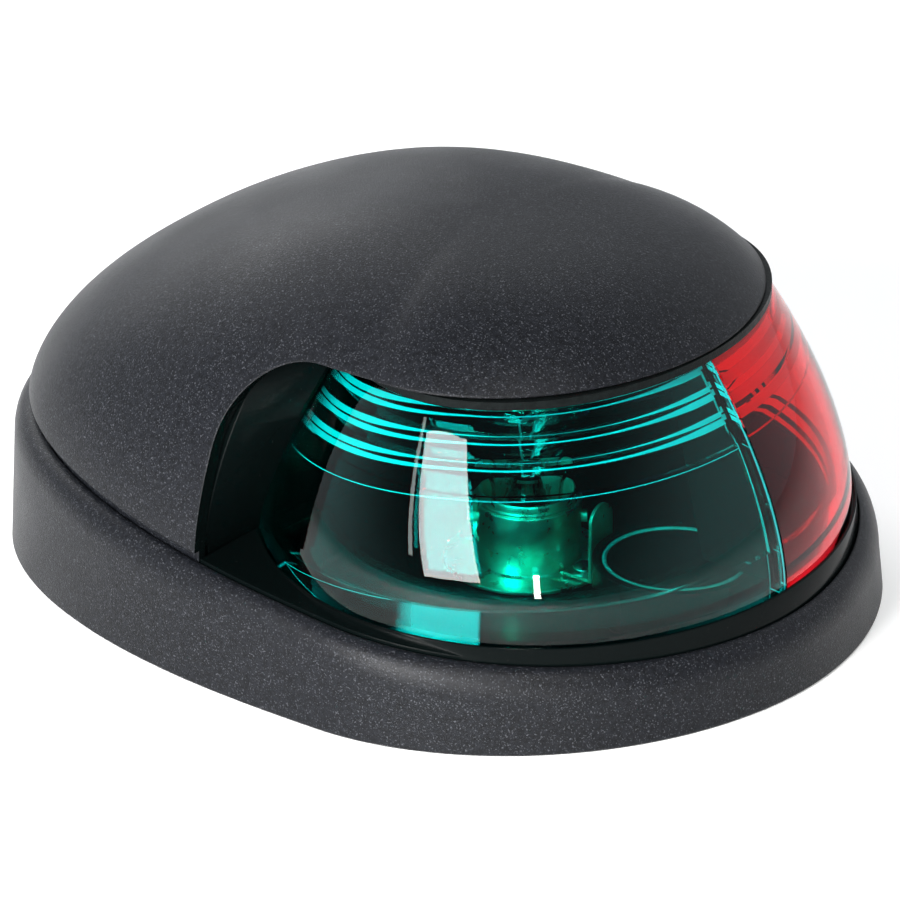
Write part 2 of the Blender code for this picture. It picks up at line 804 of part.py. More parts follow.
def make_socket_shell(finish):
    """The metal bayonet socket, with an L-shaped slot for each of the bulb's pins."""
    bore = socket_inner_radius()
    outer = socket_outer_radius()
    collar = outer + COLLAR_THICKNESS
    flange_top = flange_top_height()
    flange_bottom = flange_top - FLANGE_THICKNESS
    profile = [
        (bore, SOCKET_RIM),
        (collar, SOCKET_RIM),
        (collar, COLLAR_BOTTOM),
        (outer, COLLAR_BOTTOM - COLLAR_THICKNESS),
        (outer, flange_top),
        (FLANGE_RADIUS, flange_top),
        (FLANGE_RADIUS, flange_bottom),
        (outer, flange_bottom),
        (outer, SOCKET_BOTTOM),
        (bore - SOCKET_LIP, SOCKET_BOTTOM),
        (bore - SOCKET_LIP, SOCKET_BOTTOM + SOCKET_WALL),
        (bore, SOCKET_BOTTOM + SOCKET_WALL),
    ]
    shell = turned("socket_shell", profile, (BULB_X, 0.0), finish, closed=True)
    room = PIN_RADIUS + GAP
    swing = room / bore
    for number, start in enumerate((PIN_ANGLE, PIN_ANGLE + math.pi), 1):
        level = sector(
            f"slot_level_{number}",
            start - swing,
            start + TURN_ANGLE + swing,
            PIN_HEIGHT - PRESS_TRAVEL - room,
            PIN_HEIGHT + room,
        )
        entry = sector(
            f"slot_entry_{number}",
            start + TURN_ANGLE - swing,
            start + TURN_ANGLE + swing,
            PIN_HEIGHT,
            SOCKET_RIM + CUT_MARGIN,
        )
        combine(shell, level, "DIFFERENCE", f"slot level {number}")
        combine(shell, entry, "DIFFERENCE", f"slot entry {number}")
    for label, centre in rivet_places():
        hole = cylinder(
            f"flange_hole_{label}", RIVET_RADIUS + GAP, UNDERSIDE_DEPTH, flange_top + GAP, centre
        )
        combine(shell, hole, "DIFFERENCE", f"flange hole {label}")
    return shell


def make_socket_insulator(finish):
    """The disc that holds the contact plunger clear of the socket's metal."""
    bottom = insulator_bottom()
    top = bottom + INSULATOR_THICKNESS
    radius = socket_inner_radius() - GAP
    bore = PLUNGER_STEM_RADIUS + GAP
    profile = [(bore, top), (radius, top), (radius, bottom), (bore, bottom)]
    return turned("socket_insulator", profile, (BULB_X, 0.0), finish, closed=True)


def make_contact_plunger(finish):
    """The sprung centre contact: a head under the bulb and a stem through the insulator."""
    top = plunger_top()
    head = top - PLUNGER_HEAD_HEIGHT
    profile = [
        (0.0, top),
        (PLUNGER_HEAD_RADIUS, top),
        (PLUNGER_HEAD_RADIUS, head),
        (PLUNGER_STEM_RADIUS, head),
        (PLUNGER_STEM_RADIUS, head - PLUNGER_STEM_LENGTH),
        (0.0, head - PLUNGER_STEM_LENGTH),
    ]
    return turned("contact_plunger", profile, (BULB_X, 0.0), finish)


def spring_span():
    """Lowest and highest centre line of the contact spring at rest."""
    low = insulator_bottom() + INSULATOR_THICKNESS + GAP + SPRING_WIRE
    high = plunger_top() - PLUNGER_HEAD_HEIGHT - GAP - SPRING_WIRE
    return low, high


def make_contact_spring(finish):
    """The small coil spring that pushes the plunger up."""
    low, high = spring_span()
    count = int(SPRING_TURNS * SPRING_POINTS_PER_TURN)
    points = []
    for step in range(count + 1):
        angle = 2 * math.pi * step / SPRING_POINTS_PER_TURN
        height = low + (high - low) * step / count
        x = BULB_X + SPRING_RADIUS * math.cos(angle)
        points.append((x, SPRING_RADIUS * math.sin(angle), height))
    return wire("contact_spring", points, SPRING_WIRE, finish)


def make_rivet(name, centre, low, high, finish):
    """A rivet with a flat head above high and a formed head below low."""
    head = RIVET_HEAD_HEIGHT
    profile = [
        (0.0, high + GAP + head),
        (RIVET_HEAD_RADIUS * RIVET_CROWN, high + GAP + head),
        (RIVET_HEAD_RADIUS, high + GAP + head / 2),
        (RIVET_HEAD_RADIUS, high + GAP),
        (RIVET_RADIUS, high + GAP),
        (RIVET_RADIUS, low - GAP),
        (RIVET_HEAD_RADIUS, low - GAP),
        (RIVET_HEAD_RADIUS, low - GAP - head / 2),
        (RIVET_HEAD_RADIUS * RIVET_CROWN, low - GAP - head),
        (0.0, low - GAP - head),
    ]
    return turned(name, profile, centre, finish, steps=SMALL_TURN_STEPS)


def rivet_places():
    """The socket's rivets, fore and aft of the bulb. The fore one also holds the earth tab."""
    return (("fore", (BULB_X + RIVET_CIRCLE, 0.0)), ("aft", (BULB_X - RIVET_CIRCLE, 0.0)))


def flange_top_height():
    """Top of the socket's flange, which rests on the floor."""
    return FLOOR_TOP + GAP + FLANGE_THICKNESS


def make_earth_tab(finish):
    """The bent earth strip before the socket: a foot on its flange and an upright round-ended tab."""
    bottom = flange_top_height() + GAP
    half = STRIP_WIDTH / 2
    heel = BULB_X + socket_outer_radius() + GAP
    side_view = [
        (heel, bottom),
        (TAB_X + STRIP_THICKNESS, bottom),
        (TAB_X + STRIP_THICKNESS, bottom + TAB_HEIGHT),
        (TAB_X, bottom + TAB_HEIGHT),
        (TAB_X, bottom + STRIP_THICKNESS),
        (heel, bottom + STRIP_THICKNESS),
    ]
    tab = prism("earth_tab", side_view, "Y", -half, half, finish)
    round_centre = bottom + TAB_HEIGHT - half
    outline = [(-half, 0.0), (half, 0.0)]
    for step in range(CORNER_STEPS * 2 + 1):
        turn = math.pi * step / (CORNER_STEPS * 2)
        outline.append((half * math.cos(turn), round_centre + half * math.sin(turn)))
    shape = prism(
        "tab_outline", outline, "X", TAB_X - CUT_MARGIN, TAB_X + CUT_MARGIN, collection=CUTTERS
    )
    combine(tab, shape, "INTERSECT", "round end")
    fore = rivet_places()[0][1]
    hole = cylinder("tab_hole", RIVET_RADIUS + GAP, 0.0, bottom + STRIP_THICKNESS + GAP, fore)
    combine(tab, hole, "DIFFERENCE", "rivet hole")
    return tab


def make_supply_strip(finish):
    """The flat supply strip below the socket, which the plunger's stem passes through."""
    half = STRIP_WIDTH / 2
    outline = []
    for step in range(CORNER_STEPS * 2 + 1):
        turn = -math.pi / 2 + math.pi * step / (CORNER_STEPS * 2)
        outline.append((BULB_X + half * math.cos(turn), half * math.sin(turn)))
    outline.append((BULB_X - LEAD_STRIP_LENGTH, half))
    outline.append((BULB_X - LEAD_STRIP_LENGTH, -half))
    top = LEAD_STRIP_BOTTOM + LEAD_STRIP_THICKNESS
    strip = prism("supply_strip", outline, "Z", LEAD_STRIP_BOTTOM, top, finish)
    hole = cylinder(
        "strip_hole", PLUNGER_STEM_RADIUS + GAP, -CUT_MARGIN, top + GAP, (BULB_X, 0.0)
    )
    combine(strip, hole, "DIFFERENCE", "stem hole")
    return strip


# ---------------------------------------------------------------- bulb group


def make_bulb_cap(finish):
    """The bulb's metal cap, rolled at its rim and turned in at its foot."""
    inner = CAP_RADIUS - CAP_WALL
    profile = [
        (inner, CAP_RIM),
        (CAP_RADIUS - CAP_WALL / 3, CAP_RIM),
        (CAP_RADIUS, CAP_RIM - CAP_WALL),
        (CAP_RADIUS, CAP_BOTTOM + CAP_WALL),
        (CAP_RADIUS - CAP_WALL, CAP_BOTTOM),
        (CAP_HOLE_RADIUS, CAP_BOTTOM),
        (CAP_HOLE_RADIUS, CAP_BOTTOM + CAP_WALL),
        (inner, CAP_BOTTOM + CAP_WALL),
    ]
    cap = turned("bulb_cap", profile, (BULB_X, 0.0), finish, closed=True)
    for number, angle in enumerate((PIN_ANGLE, PIN_ANGLE + math.pi), 1):
        hole = radial_pin(f"cap_pin_hole_{number}", angle, PIN_RADIUS + GAP / 2, None, CUTTERS)
        combine(cap, hole, "DIFFERENCE", f"pin hole {number}")
    return cap


def radial_pin(name, angle, radius, finish, collection=PARTS):
    """A short round pin that crosses the cap's wall, pointing away from the bulb's axis."""
    start = CAP_RADIUS - CAP_WALL - GAP - PIN_RADIUS
    length = PIN_REACH - start
    bm = bmesh.new()
    bmesh.ops.create_cone(
        bm,
        cap_ends=True,
        segments=SMALL_TURN_STEPS,
        radius1=radius,
        radius2=radius,
        depth=length,
    )
    turn = Matrix.Rotation(angle, 4, "Z") @ Matrix.Rotation(math.pi / 2, 4, "Y")
    reach = start + length / 2
    centre = (BULB_X + reach * math.cos(angle), reach * math.sin(angle), PIN_HEIGHT)
    bmesh.ops.transform(bm, matrix=Matrix.Translation(centre) @ turn, verts=bm.verts)
    return add_object(name, finish_mesh(name, bm), finish, collection)


def make_bulb_glass(finish):
    """The globe: a thin glass shell, open at its neck inside the cap."""
    neck = CAP_RADIUS - CAP_WALL - 2 * GAP - PIN_RADIUS
    low = CAP_BOTTOM + CAP_WALL + NECK_LIFT

    def side(offset):
        radius = GLOBE_RADIUS - offset
        top = BULB_TOP - offset - GLOBE_HEIGHT
        points = []
        for step in range(GLOBE_STEPS + 1):
            turn = math.pi / 2 - GLOBE_SWEEP * step / GLOBE_STEPS
            height = top if turn > 0 else GLOBE_LOWER_HEIGHT
            points.append((radius * math.cos(turn), GLOBE_HEIGHT + height * math.sin(turn)))
        points[0] = (0.0, points[0][1])
        points.append((neck - offset + GAP, CAP_RIM + NECK_FLARE))
        points.append((neck - offset, CAP_RIM))
        points.append((neck - offset, low))
        return points

    profile = side(0.0) + list(reversed(side(GLASS_WALL)))
    return turned("bulb_glass", profile, (BULB_X, 0.0), finish)


def make_bulb_stem(finish):
    """The glass bead inside the neck, which holds the filament's wires."""
    radius = CAP_RADIUS - CAP_WALL - 2 * GAP - PIN_RADIUS - GLASS_WALL - GAP
    low = CAP_BOTTOM + CAP_WALL + STEM_LIFT
    profile = [
        (0.0, STEM_TOP),
        (STEM_TIP_RADIUS, STEM_TOP - STEM_EDGE),
        (STEM_WAIST_RADIUS, STEM_TOP - STEM_TIP_LENGTH),
        (radius, STEM_TOP - STEM_FLARE_LENGTH),
        (radius, low),
        (0.0, low),
    ]
    return turned("bulb_stem", profile, (BULB_X, 0.0), finish)


def make_filament(finish):
    """The filament and its two lead wires: up from the stem, a coiled arc, and down again."""
    half = FILAMENT_HALF_WIDTH
    start = STEM_TOP + GAP + FILAMENT_WIRE
    points = [(BULB_X, -LEAD_HALF_SPREAD, start), (BULB_X, -half, FILAMENT_HEIGHT)]
    count = COIL_TURNS * COIL_POINTS_PER_TURN
    for step in range(1, count):
        share = step / count
        angle = 2 * math.pi * COIL_TURNS * share
        arc = math.sin(math.pi * share)
        swell = COIL_RADIUS * min(1.0, COIL_END_TAPER * arc)
        y = -half + 2 * half * share
        x = BULB_X + swell * math.sin(angle)
        z = FILAMENT_HEIGHT + COIL_ARCH * arc + swell * math.cos(angle) - swell
        points.append((x, y, z))
    points += [(BULB_X, half, FILAMENT_HEIGHT), (BULB_X, LEAD_HALF_SPREAD, start)]
    return wire("filament", points, FILAMENT_WIRE, finish, resolution=1)


def make_bulb_cap_insulator(finish):
    """The black glass in the foot of the cap, round the end contact."""
    radius = CAP_HOLE_RADIUS - GAP
    top = CAP_BOTTOM + CAP_GLASS_THICKNESS
    bore = CONTACT_STEM_RADIUS + GAP
    profile = [(bore, top), (radius, top), (radius, CAP_BOTTOM), (bore, CAP_BOTTOM)]
    return turned("bulb_cap_insulator", profile, (BULB_X, 0.0), finish, closed=True)


def make_bulb_contact(finish):
    """The soldered end contact, with its short stem through the black glass."""
    profile = [
        (0.0, CAP_BOTTOM + CAP_WALL),
        (CONTACT_STEM_RADIUS, CAP_BOTTOM + CAP_WALL),
        (CONTACT_STEM_RADIUS, CAP_BOTTOM - GAP),
        (CONTACT_RADIUS, CAP_BOTTOM - GAP),
        (CONTACT_TIP_RADIUS, CONTACT_BOTTOM),
        (0.0, CONTACT_BOTTOM),
    ]
    return turned("bulb_contact", profile, (BULB_X, 0.0), finish)


# ---------------------------------------------------------------- the whole light


def main():
    """Build every piece of the light."""
    clear_scene()
    new_collection(PARTS)
    new_collection(CUTTERS)

    charcoal = material("textured charcoal plastic", (0.045, 0.045, 0.052), 0.55)
    gloss = material("glossy black plastic", (0.008, 0.010, 0.010), 0.12)
    rubber = material("black rubber", (0.015, 0.015, 0.016), 0.60)
    foam = material("closed-cell foam", (0.030, 0.030, 0.032), 0.85)
    green = material("green lens", (0.0, 0.35, 0.30), 0.05, transmission=0.9)
    red = material("red lens", (0.65, 0.02, 0.03), 0.05, transmission=0.9)
    glass = material("clear glass", (1.0, 1.0, 1.0), 0.02, transmission=1.0)
    black_glass = material("black glass", (0.01, 0.01, 0.01), 0.1)
    nickel = material("nickel-plated brass", (0.55, 0.52, 0.45), 0.25, metallic=1.0)
    brass = material("brass", (0.65, 0.48, 0.22), 0.30, metallic=1.0)
    steel = material("spring steel", (0.45, 0.45, 0.46), 0.30, metallic=1.0)
    solder = material("solder", (0.50, 0.50, 0.52), 0.40, metallic=1.0)
    tungsten = material("tungsten", (0.25, 0.25, 0.26), 0.45, metallic=1.0)
    board = material("phenolic board", (0.16, 0.07, 0.03), 0.60)

    make_base(charcoal)
    make_deck_gasket(foam)
    make_screw_plug(gloss)
    make_wire_grommet(rubber)

    make_cover(charcoal)

    make_lens("lens_green", -1, green)
    make_lens("lens_red", 1, red)
    make_lens_frame(gloss)
    make_lens_seal(rubber)
    make_colour_divider(gloss)

    make_socket_shell(nickel)
    make_socket_insulator(board)
    make_contact_plunger(brass)
    make_contact_spring(steel)
    make_earth_tab(nickel)
    make_supply_strip(brass)
    tab_top = flange_top_height() + GAP + STRIP_THICKNESS
    for (label, centre), top in zip(rivet_places(), (tab_top, flange_top_height())):
        make_rivet(f"socket_rivet_{label}", centre, UNDERSIDE_DEPTH, top, steel)

    make_bulb_cap(nickel)
    make_bulb_glass(glass)
    make_bulb_stem(glass)
    make_filament(tungsten)
    make_bulb_cap_insulator(black_glass)
    make_bulb_contact(solder)
    radial_pin("bulb_pin_fore", PIN_ANGLE, PIN_RADIUS, nickel)
    radial_pin("bulb_pin_aft", PIN_ANGLE + math.pi, PIN_RADIUS, nickel)


main()
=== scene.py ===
"""Looks of a two-colour bow navigation light: moulded shells, ribbed lenses, bayonet bulb and studio.

The light stands on its flat underside. +X points to the bow, +Y to port, +Z up, in metres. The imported
solids are the fixed frame, and each piece made here rides on one of their bodies.
"""

import json
import logging
import math
from dataclasses import dataclass, field
from enum import Enum
from typing import Callable, Iterable, Optional, Sequence

import bmesh
import bpy
from mathutils import Matrix, Vector

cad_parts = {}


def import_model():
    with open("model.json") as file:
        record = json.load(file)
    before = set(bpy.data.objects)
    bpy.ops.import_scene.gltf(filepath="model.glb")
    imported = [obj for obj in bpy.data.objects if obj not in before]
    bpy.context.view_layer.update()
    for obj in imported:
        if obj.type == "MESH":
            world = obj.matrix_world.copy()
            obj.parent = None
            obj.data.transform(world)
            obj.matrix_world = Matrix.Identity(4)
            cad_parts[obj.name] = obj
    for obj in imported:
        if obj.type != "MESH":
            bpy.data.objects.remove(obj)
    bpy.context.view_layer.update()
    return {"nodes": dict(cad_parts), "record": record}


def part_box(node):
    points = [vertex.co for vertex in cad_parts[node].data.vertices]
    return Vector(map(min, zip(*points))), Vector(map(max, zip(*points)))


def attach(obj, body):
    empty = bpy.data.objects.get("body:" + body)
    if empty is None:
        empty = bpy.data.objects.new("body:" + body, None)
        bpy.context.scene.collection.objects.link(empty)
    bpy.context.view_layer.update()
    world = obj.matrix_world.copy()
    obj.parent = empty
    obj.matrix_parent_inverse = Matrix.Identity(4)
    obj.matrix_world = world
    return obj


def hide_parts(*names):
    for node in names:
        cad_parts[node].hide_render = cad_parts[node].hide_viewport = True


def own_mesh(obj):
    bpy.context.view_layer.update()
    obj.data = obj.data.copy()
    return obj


Point = tuple[float, float, float]
Ring = list[Point]
LOG = logging.getLogger("bow_light")


class Side(Enum):
    """The two sides of the boat, each with the sign of its Y."""

    STARBOARD = -1
    PORT = 1


class Grain(Enum):
    """How coarse a moulding tool's grain is, in metres between its peaks."""

    FINE = 0.00030
    FOAM = 0.00075


# ---------------------------------------------------------------- meshes


class Mesher:
    """Turns rings, profiles and outlines into smooth, closed meshes."""

    @staticmethod
    def finish(name: str, bm: bmesh.types.BMesh, sharp: float = 32.0) -> bpy.types.Object:
        """Make an object of a bmesh, shaded smooth between sharp edges.

        Args:
            name: The piece's name.
            bm: The geometry, which is freed here.
            sharp: Edges that turn more than this many degrees stay sharp.

        Returns:
            The new object, linked to the scene.
        """
        bmesh.ops.recalc_face_normals(bm, faces=bm.faces[:])
        mesh = bpy.data.meshes.new(name)
        bm.to_mesh(mesh)
        bm.free()
        mesh.shade_smooth()
        mesh.set_sharp_from_angle(angle=math.radians(sharp))
        obj = bpy.data.objects.new(name, mesh)
        bpy.context.scene.collection.objects.link(obj)
        return obj

    @staticmethod
    def loft(name: str, rings: Sequence[Ring], cyclic: bool = False, sharp: float = 32.0) -> bpy.types.Object:
        """Skin closed rings of equal count.

        Args:
            name: The piece's name.
            rings: The rings in order.
            cyclic: Join the last ring to the first in place of capping both.
            sharp: Sharp edge angle in degrees.

        Returns:
            The lofted solid.
        """
        bm = bmesh.new()
        rows = [[bm.verts.new(point) for point in ring] for ring in rings]
        count = len(rows[0])
        pairs = list(zip(rows, rows[1:]))
        if cyclic:
            pairs.append((rows[-1], rows[0]))
        else:
            bm.faces.new(rows[0])
            bm.faces.new(rows[-1])
        for low, high in pairs:
            for i in range(count):
                j = (i + 1) % count
                bm.faces.new((low[i], low[j], high[j], high[i]))
        return Mesher.finish(name, bm, sharp)

    @staticmethod
    def turned(
        name: str,
        profile: Sequence[tuple[float, float]],
        centre: tuple[float, float],
        closed: bool = True,
        steps: int = 96,
        sharp: float = 32.0,
    ) -> bpy.types.Object:
        """Turn a profile about an upright axis.

        Args:
            name: The piece's name.
            profile: Radius and height pairs. Where it starts and ends on the axis it isn't closed.
            centre: X and Y of the axis.
            closed: Join the last point to the first, for a ring.
            steps: Segments round the axis.
            sharp: Sharp edge angle in degrees.

        Returns:
            The turned solid.
        """
        bm = bmesh.new()
        columns = []
        for step in range(steps):
            angle = 2 * math.pi * step / steps
            columns.append(
                [
                    bm.verts.new((centre[0] + r * math.cos(angle), centre[1] + r * math.sin(angle), z))
                    for r, z in profile
                ]
            )
        count = len(profile)
        last = count if closed else count - 1
        for step in range(steps):
            a, b = columns[step], columns[(step + 1) % steps]
            for i in range(last):
                j = (i + 1) % count
                bm.faces.new((a[i], b[i], b[j], a[j]))
        bmesh.ops.remove_doubles(bm, verts=bm.verts, dist=1e-7)
        return Mesher.finish(name, bm, sharp)

    @staticmethod
    def prism(name: str, outline: Sequence[tuple[float, float]], half_width: float) -> bpy.types.Object:
        """Push a side view out to both sides of the centre line.

        Args:
            name: The piece's name.
            outline: X and Z pairs.
            half_width: How far it reaches to each side.

        Returns:
            The prism.
        """
        return Mesher.loft(name, [[(x, y, z) for x, z in outline] for y in (-half_width, half_width)])

    @staticmethod
    def cut(
        target: bpy.types.Object, cutters: Iterable[bpy.types.Object], operation: str = "DIFFERENCE"
    ) -> None:
        """Apply exact Booleans to a piece and remove the cutters.

        Args:
            target: The piece that is changed.
            cutters: The solids taken from it or joined to it.
            operation: Blender's name of the Boolean.
        """
        used = list(cutters)
        for number, cutter in enumerate(used):
            step = target.modifiers.new(f"step_{number}", "BOOLEAN")
            step.operation = operation
            step.solver = "EXACT"
            step.object = cutter
        Mesher.bake(target)
        for cutter in used:
            bpy.data.objects.remove(cutter, do_unlink=True)

    @staticmethod
    def bake(target: bpy.types.Object, sharp: float = 32.0) -> None:
        """Replace a piece's mesh with its evaluated one.

        Args:
            target: The piece.
            sharp: Sharp edge angle in degrees.
        """
        bpy.context.view_layer.update()
        graph = bpy.context.evaluated_depsgraph_get()
        mesh = bpy.data.meshes.new_from_object(target.evaluated_get(graph))
        target.modifiers.clear()
        target.data = mesh
        mesh.shade_smooth()
        mesh.set_sharp_from_angle(angle=math.radians(sharp))

    @staticmethod
    def wire(name: str, path: Sequence[Point], radius: float, sides: int = 10) -> bpy.types.Object:
        """Sweep a round section along a path.

        Args:
            name: The piece's name.
            path: The points of its centre line.
            radius: Half the wire's thickness.
            sides: Sides of the section.

        Returns:
            The wire.
        """
        rings = []
        normal = Vector((1.0, 0.0, 0.0))
        for i, place in enumerate(path):
            before, after = Vector(path[max(i - 1, 0)]), Vector(path[min(i + 1, len(path) - 1)])
            along = (after - before).normalized()
            normal = (normal - along * normal.dot(along)).normalized()
            across = along.cross(normal)
            ring = []
            for side in range(sides):
                angle = 2 * math.pi * side / sides
                spot = Vector(place) + radius * (math.cos(angle) * normal + math.sin(angle) * across)
                ring.append(tuple(spot))
            rings.append(ring)
        return Mesher.loft(name, rings, sharp=60.0)


# ---------------------------------------------------------------- shared shape


def signed_power(value: float, power: float) -> float:
    """A power that keeps the sign of its base."""
    return math.copysign(abs(value) ** power, value)


@dataclass(frozen=True)
class Hull:
    """The outlines and curved surfaces that the mouldings share."""

    length: float = 0.140
    width: float = 0.114
    crown: float = 0.0632
    widest_x: float = 0.0183
    bow_power: float = 1.94
    stern_power: float = 2.45
    gap: float = 0.0003
    rim: float = 0.0177
    rim_slope: float = 0.095
    rim_inset: float = 0.0038
    cover_inset: float = 0.0030
    cover_bow_inset: float = 0.0066
    cover_lift: float = 0.0017
    crest_shift: float = -0.0093
    falls: tuple[float, float] = (1.76, 4.38)
    rounds: tuple[float, float] = (1.43, 1.62)
    visor: float = 0.0505
    opening_x: float = -0.0077
    opening_radius: float = 0.0140
    lens_x: float = 0.0214
    lens_half_length: float = 0.0429
    lens_half_width: float = 0.0503
    lens_lean: float = 0.0175
    lens_side_share: float = 0.846
    lens_power: float = 1.65
    lens_rise: float = 0.0356
    lens_shift: float = 0.0016
    seat: float = 0.0179
    seat_slope: float = 0.055
    seal_height: float = 0.0013
    screen_lean: float = 0.31

    def rim_height(self, x: float) -> float:
        """Height of the base's rim, which falls towards the bow."""
        return self.rim - self.rim_slope * x

    def plan(self, angle: float, inset: float) -> tuple[float, float]:
        """A point of the plan outline.

        Args:
            angle: Angle from the bow, in radians.
            inset: Metres inside the outline.

        Returns:
            X and Y.
        """
        ahead = math.cos(angle) > 0
        reach = self.length / 2 - self.widest_x if ahead else self.length / 2 + self.widest_x
        power = 2 / (self.bow_power if ahead else self.stern_power)
        x = self.widest_x + (reach - inset) * signed_power(math.cos(angle), power)
        y = (self.width / 2 - inset) * signed_power(math.sin(angle), power)
        return x, y

    def end_angle(self, x: float, inset: float) -> float:
        """The angle at which the outline, aft of its widest place, crosses x."""
        share = (self.widest_x - x) / (self.length / 2 + self.widest_x - inset)
        return math.pi - math.acos(share ** (self.stern_power / 2))

    def flat_ring(self, inset: float, height: float, around: int) -> Ring:
        """The plan outline at one height."""
        return [(*self.plan(2 * math.pi * i / around, inset), height) for i in range(around)]

    def rim_ring(self, inset: float, offset: float, around: int) -> Ring:
        """The plan outline, following the sloping rim.

        Args:
            inset: Metres inside the outline.
            offset: Metres above the rim.
            around: Points in the ring.

        Returns:
            The ring.
        """
        ring = []
        for i in range(around):
            x, y = self.plan(2 * math.pi * i / around, inset)
            ring.append((x, y, self.rim_height(x) + offset))
        return ring

    def dome(self, angle: float, reach: float, inward: float) -> Point:
        """A point of the cover's surface.

        Args:
            angle: Angle from the bow, in radians.
            reach: From 0 at the crest to 1 at the bottom edge.
            inward: Metres inside the outer surface.

        Returns:
            The point.
        """
        forward = (1 + math.cos(angle)) / 2
        fall = self.falls[0] + (self.falls[1] - self.falls[0]) * forward
        roundness = self.rounds[0] + (self.rounds[1] - self.rounds[0]) * forward
        ahead = math.cos(angle) > 0
        if ahead:
            half_length = self.length / 2 - self.widest_x - self.cover_bow_inset
        else:
            half_length = self.length / 2 + self.widest_x - self.cover_inset
        power = 2 / (self.bow_power if ahead else self.stern_power)
        x = (half_length - inward) * reach * signed_power(math.cos(angle), power)
        x += self.widest_x + self.crest_shift * (1 - reach)
        y = (self.width / 2 - self.cover_inset - inward) * reach * signed_power(math.sin(angle), power)
        crest = self.rim_height(self.widest_x + self.crest_shift)
        rise = self.crown - crest - self.cover_lift - inward
        z = self.rim_height(x) + self.cover_lift + rise * max(0.0, 1 - reach**fall) ** (1 / roundness)
        return x, y, z

    def lens_seat(self, x: float) -> float:
        """Height of the lens's lower edge."""
        return self.seat - self.seat_slope * x

    def lens_top(self) -> float:
        """Height of the lens's upper edge."""
        return self.visor - 2 * self.gap - self.seal_height

    def lens(self, share: float, rise: float, inward: float, rear_gap: float = 0.0) -> Point:
        """A point of the lens surface.

        Args:
            share: From -1 to 1 between the rear edges, 0 at the bow.
            rise: From 0 at the seat to 1 at the top.
            inward: Metres inside the outer surface.
            rear_gap: Metres that the rear edge keeps off its plane.

        Returns:
            The point.
        """
        height = rise * (self.lens_top() - self.lens_seat(self.lens_x))
        x = y = 0.0
        for _ in range(4):
            inset = self.lens_lean * (max(height, 0.0) / self.lens_rise) ** self.lens_power
            half_length = self.lens_half_length - inset - inward
            half_width = self.lens_half_width - inset * self.lens_side_share - inward
            centre = self.lens_x + self.lens_shift * height / self.lens_rise
            rear_x = self.opening_x + rear_gap + self.screen_lean * height
            end = math.acos(max(-1.0, min(1.0, (rear_x - centre) / half_length)))
            x = centre + half_length * math.cos(end * share)
            y = half_width * math.sin(end * share)
            height = rise * (self.lens_top() - self.lens_seat(x))
        return x, y, self.lens_seat(x) + height


HULL = Hull()


# ---------------------------------------------------------------- finishes


